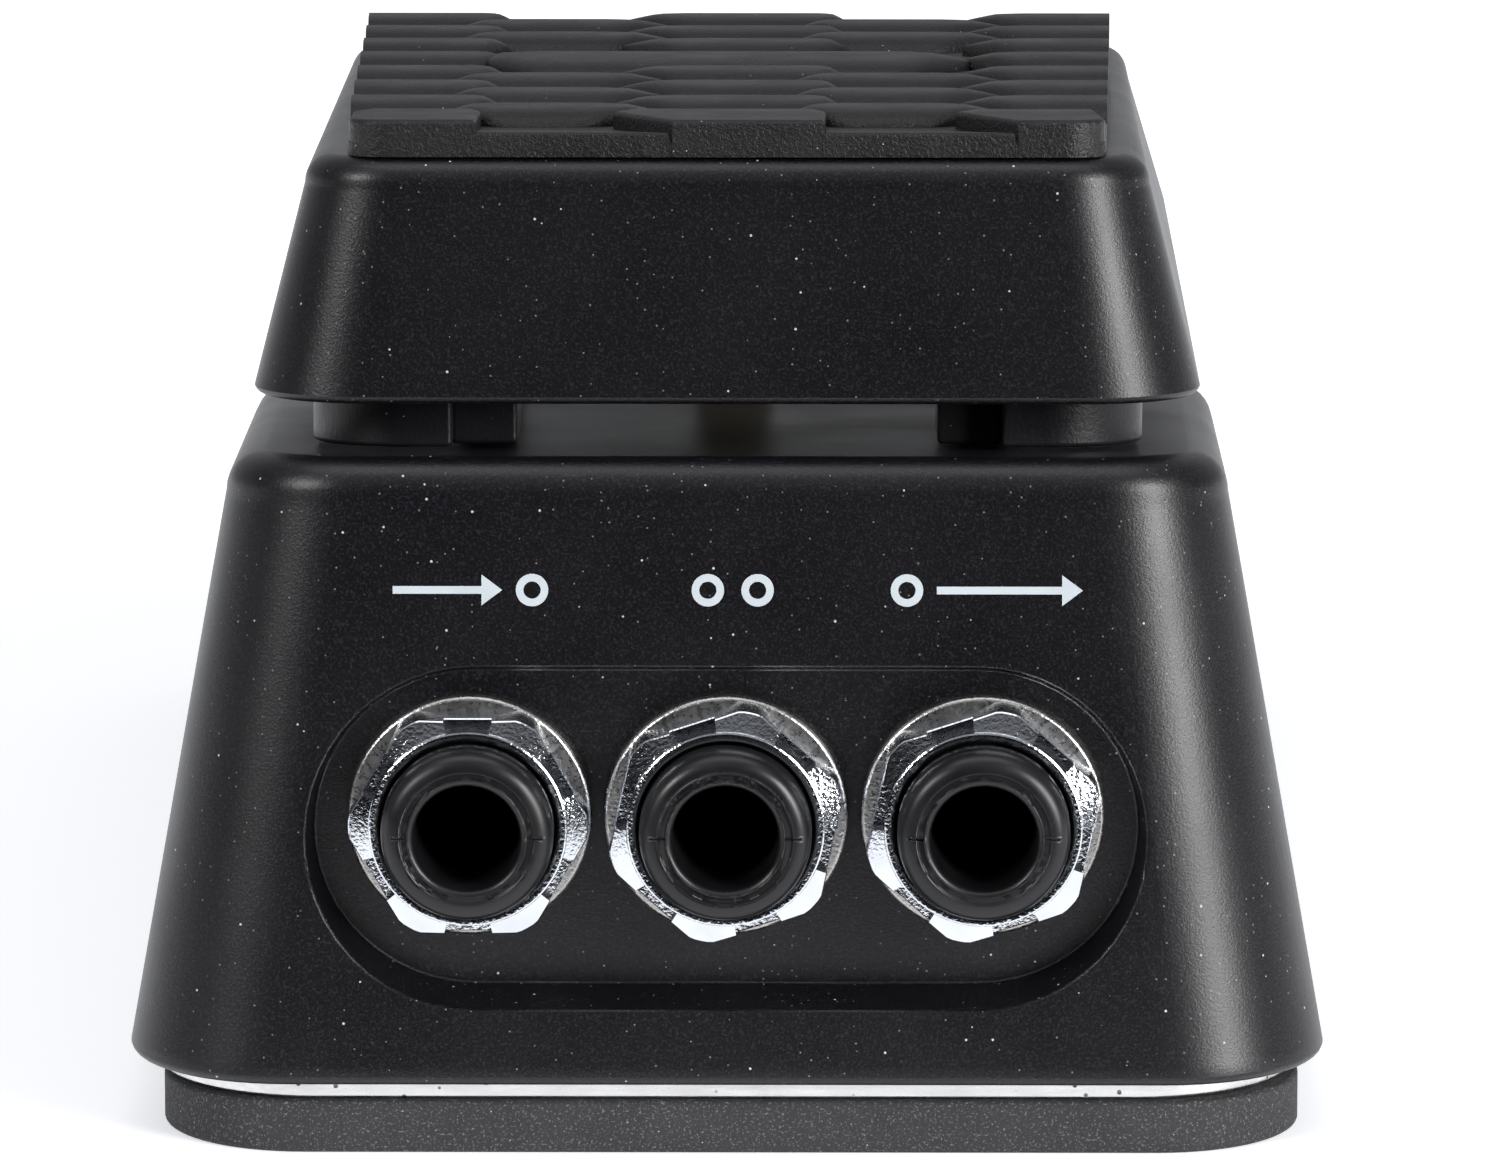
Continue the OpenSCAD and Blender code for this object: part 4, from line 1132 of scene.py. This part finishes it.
coat = powder_coat("satin_black_coat", (0.0016, 0.0015, 0.0022))
chrome = bright_metal("bright_chrome", (0.78, 0.81, 0.86), 0.14, pit_mm=0.22, relief=0.05)
zinc = bright_metal("zinc_plate", (0.78, 0.78, 0.77), 0.30, pits=0.25, stretch=(0.1, 1.0, 1.0))
washer_metal = bright_metal("washer_zinc", (0.52, 0.51, 0.5), 0.3, pit_mm=0.2, relief=0.05)
mat_rubber = moulded_rubber("mat_rubber", (0.022, 0.022, 0.024), 0.72, speck=0.6)
tread_rubber = moulded_rubber("tread_rubber", (0.0035, 0.0033, 0.004), 0.5,
                              grain_mm=0.26, ior=1.5, relief=0.18)
bumper_rubber = moulded_rubber("bumper_rubber", (0.010, 0.010, 0.012), 0.42, grain_mm=0.3)
jack_plastic = moulded_plastic("jack_black", (0.006, 0.006, 0.007), 0.36)
print_white = moulded_plastic("print_white", (0.55, 0.60, 0.64), 0.5, 1.08)

make_chassis(coat)
make_rocker(coat)
make_tread(tread_rubber)
make_slab("foot_mat", "rubber_mat", mat_rubber, 8.9, 0.35, 4.0, aside=0.25)
make_slab("base_plate", "bottom_plate", zinc, 9.6, 0.25, 1.6, inset=0.4)
for jack_name, turn in zip(JACKS, (0.0, 18.0, 18.0)):
    make_nut(jack_name + "_nut", chrome, -turn)
    make_washer(jack_name + "_washer", washer_metal)
    make_jack(jack_name + "_jack", jack_plastic)
make_bumpers(bumper_rubber)
make_symbols(print_white)

steel = bright_metal("plated_steel", (0.62, 0.62, 0.63), 0.28)
dark_steel = bright_metal("dark_steel", (0.20, 0.20, 0.21), 0.35)
strip = bright_metal("rolled_strip", (0.66, 0.67, 0.69), 0.18, stretch=(1.0, 0.08, 1.0))
brass = bright_metal("turned_brass", (0.70, 0.49, 0.22), 0.22)
nylon = moulded_plastic("natural_nylon", (0.62, 0.59, 0.50), 0.45, 1.12)
board = moulded_plastic("board_mask", (0.02, 0.13, 0.06), 0.28)
blue = moulded_plastic("component_blue", (0.04, 0.15, 0.36), 0.3)
ivory = moulded_plastic("connector_ivory", (0.68, 0.65, 0.56), 0.45, 1.1)
red = moulded_plastic("lead_red", (0.40, 0.045, 0.03), 0.5)

CAD_LOOKS = {
    "black_powder_coat": coat, "zinc_steel": steel, "chrome": chrome, "mat_rubber": mat_rubber,
    "tread_rubber": tread_rubber, "bumper_rubber": bumper_rubber, "jack_plastic": jack_plastic,
    "screw_steel": dark_steel, "spring_steel": strip, "contact_brass": brass, "pulley_brass": brass,
    "board_green": board, "component_blue": blue, "connector_white": ivory, "lead_red": red,
    "switch_metal": steel, "natural_nylon": nylon,
}
for part in frame["record"]["subparts"]:
    mesh = NODES[part["node"]].data
    mesh.materials.clear()
    mesh.materials.append(CAD_LOOKS[part["material_slot"]])
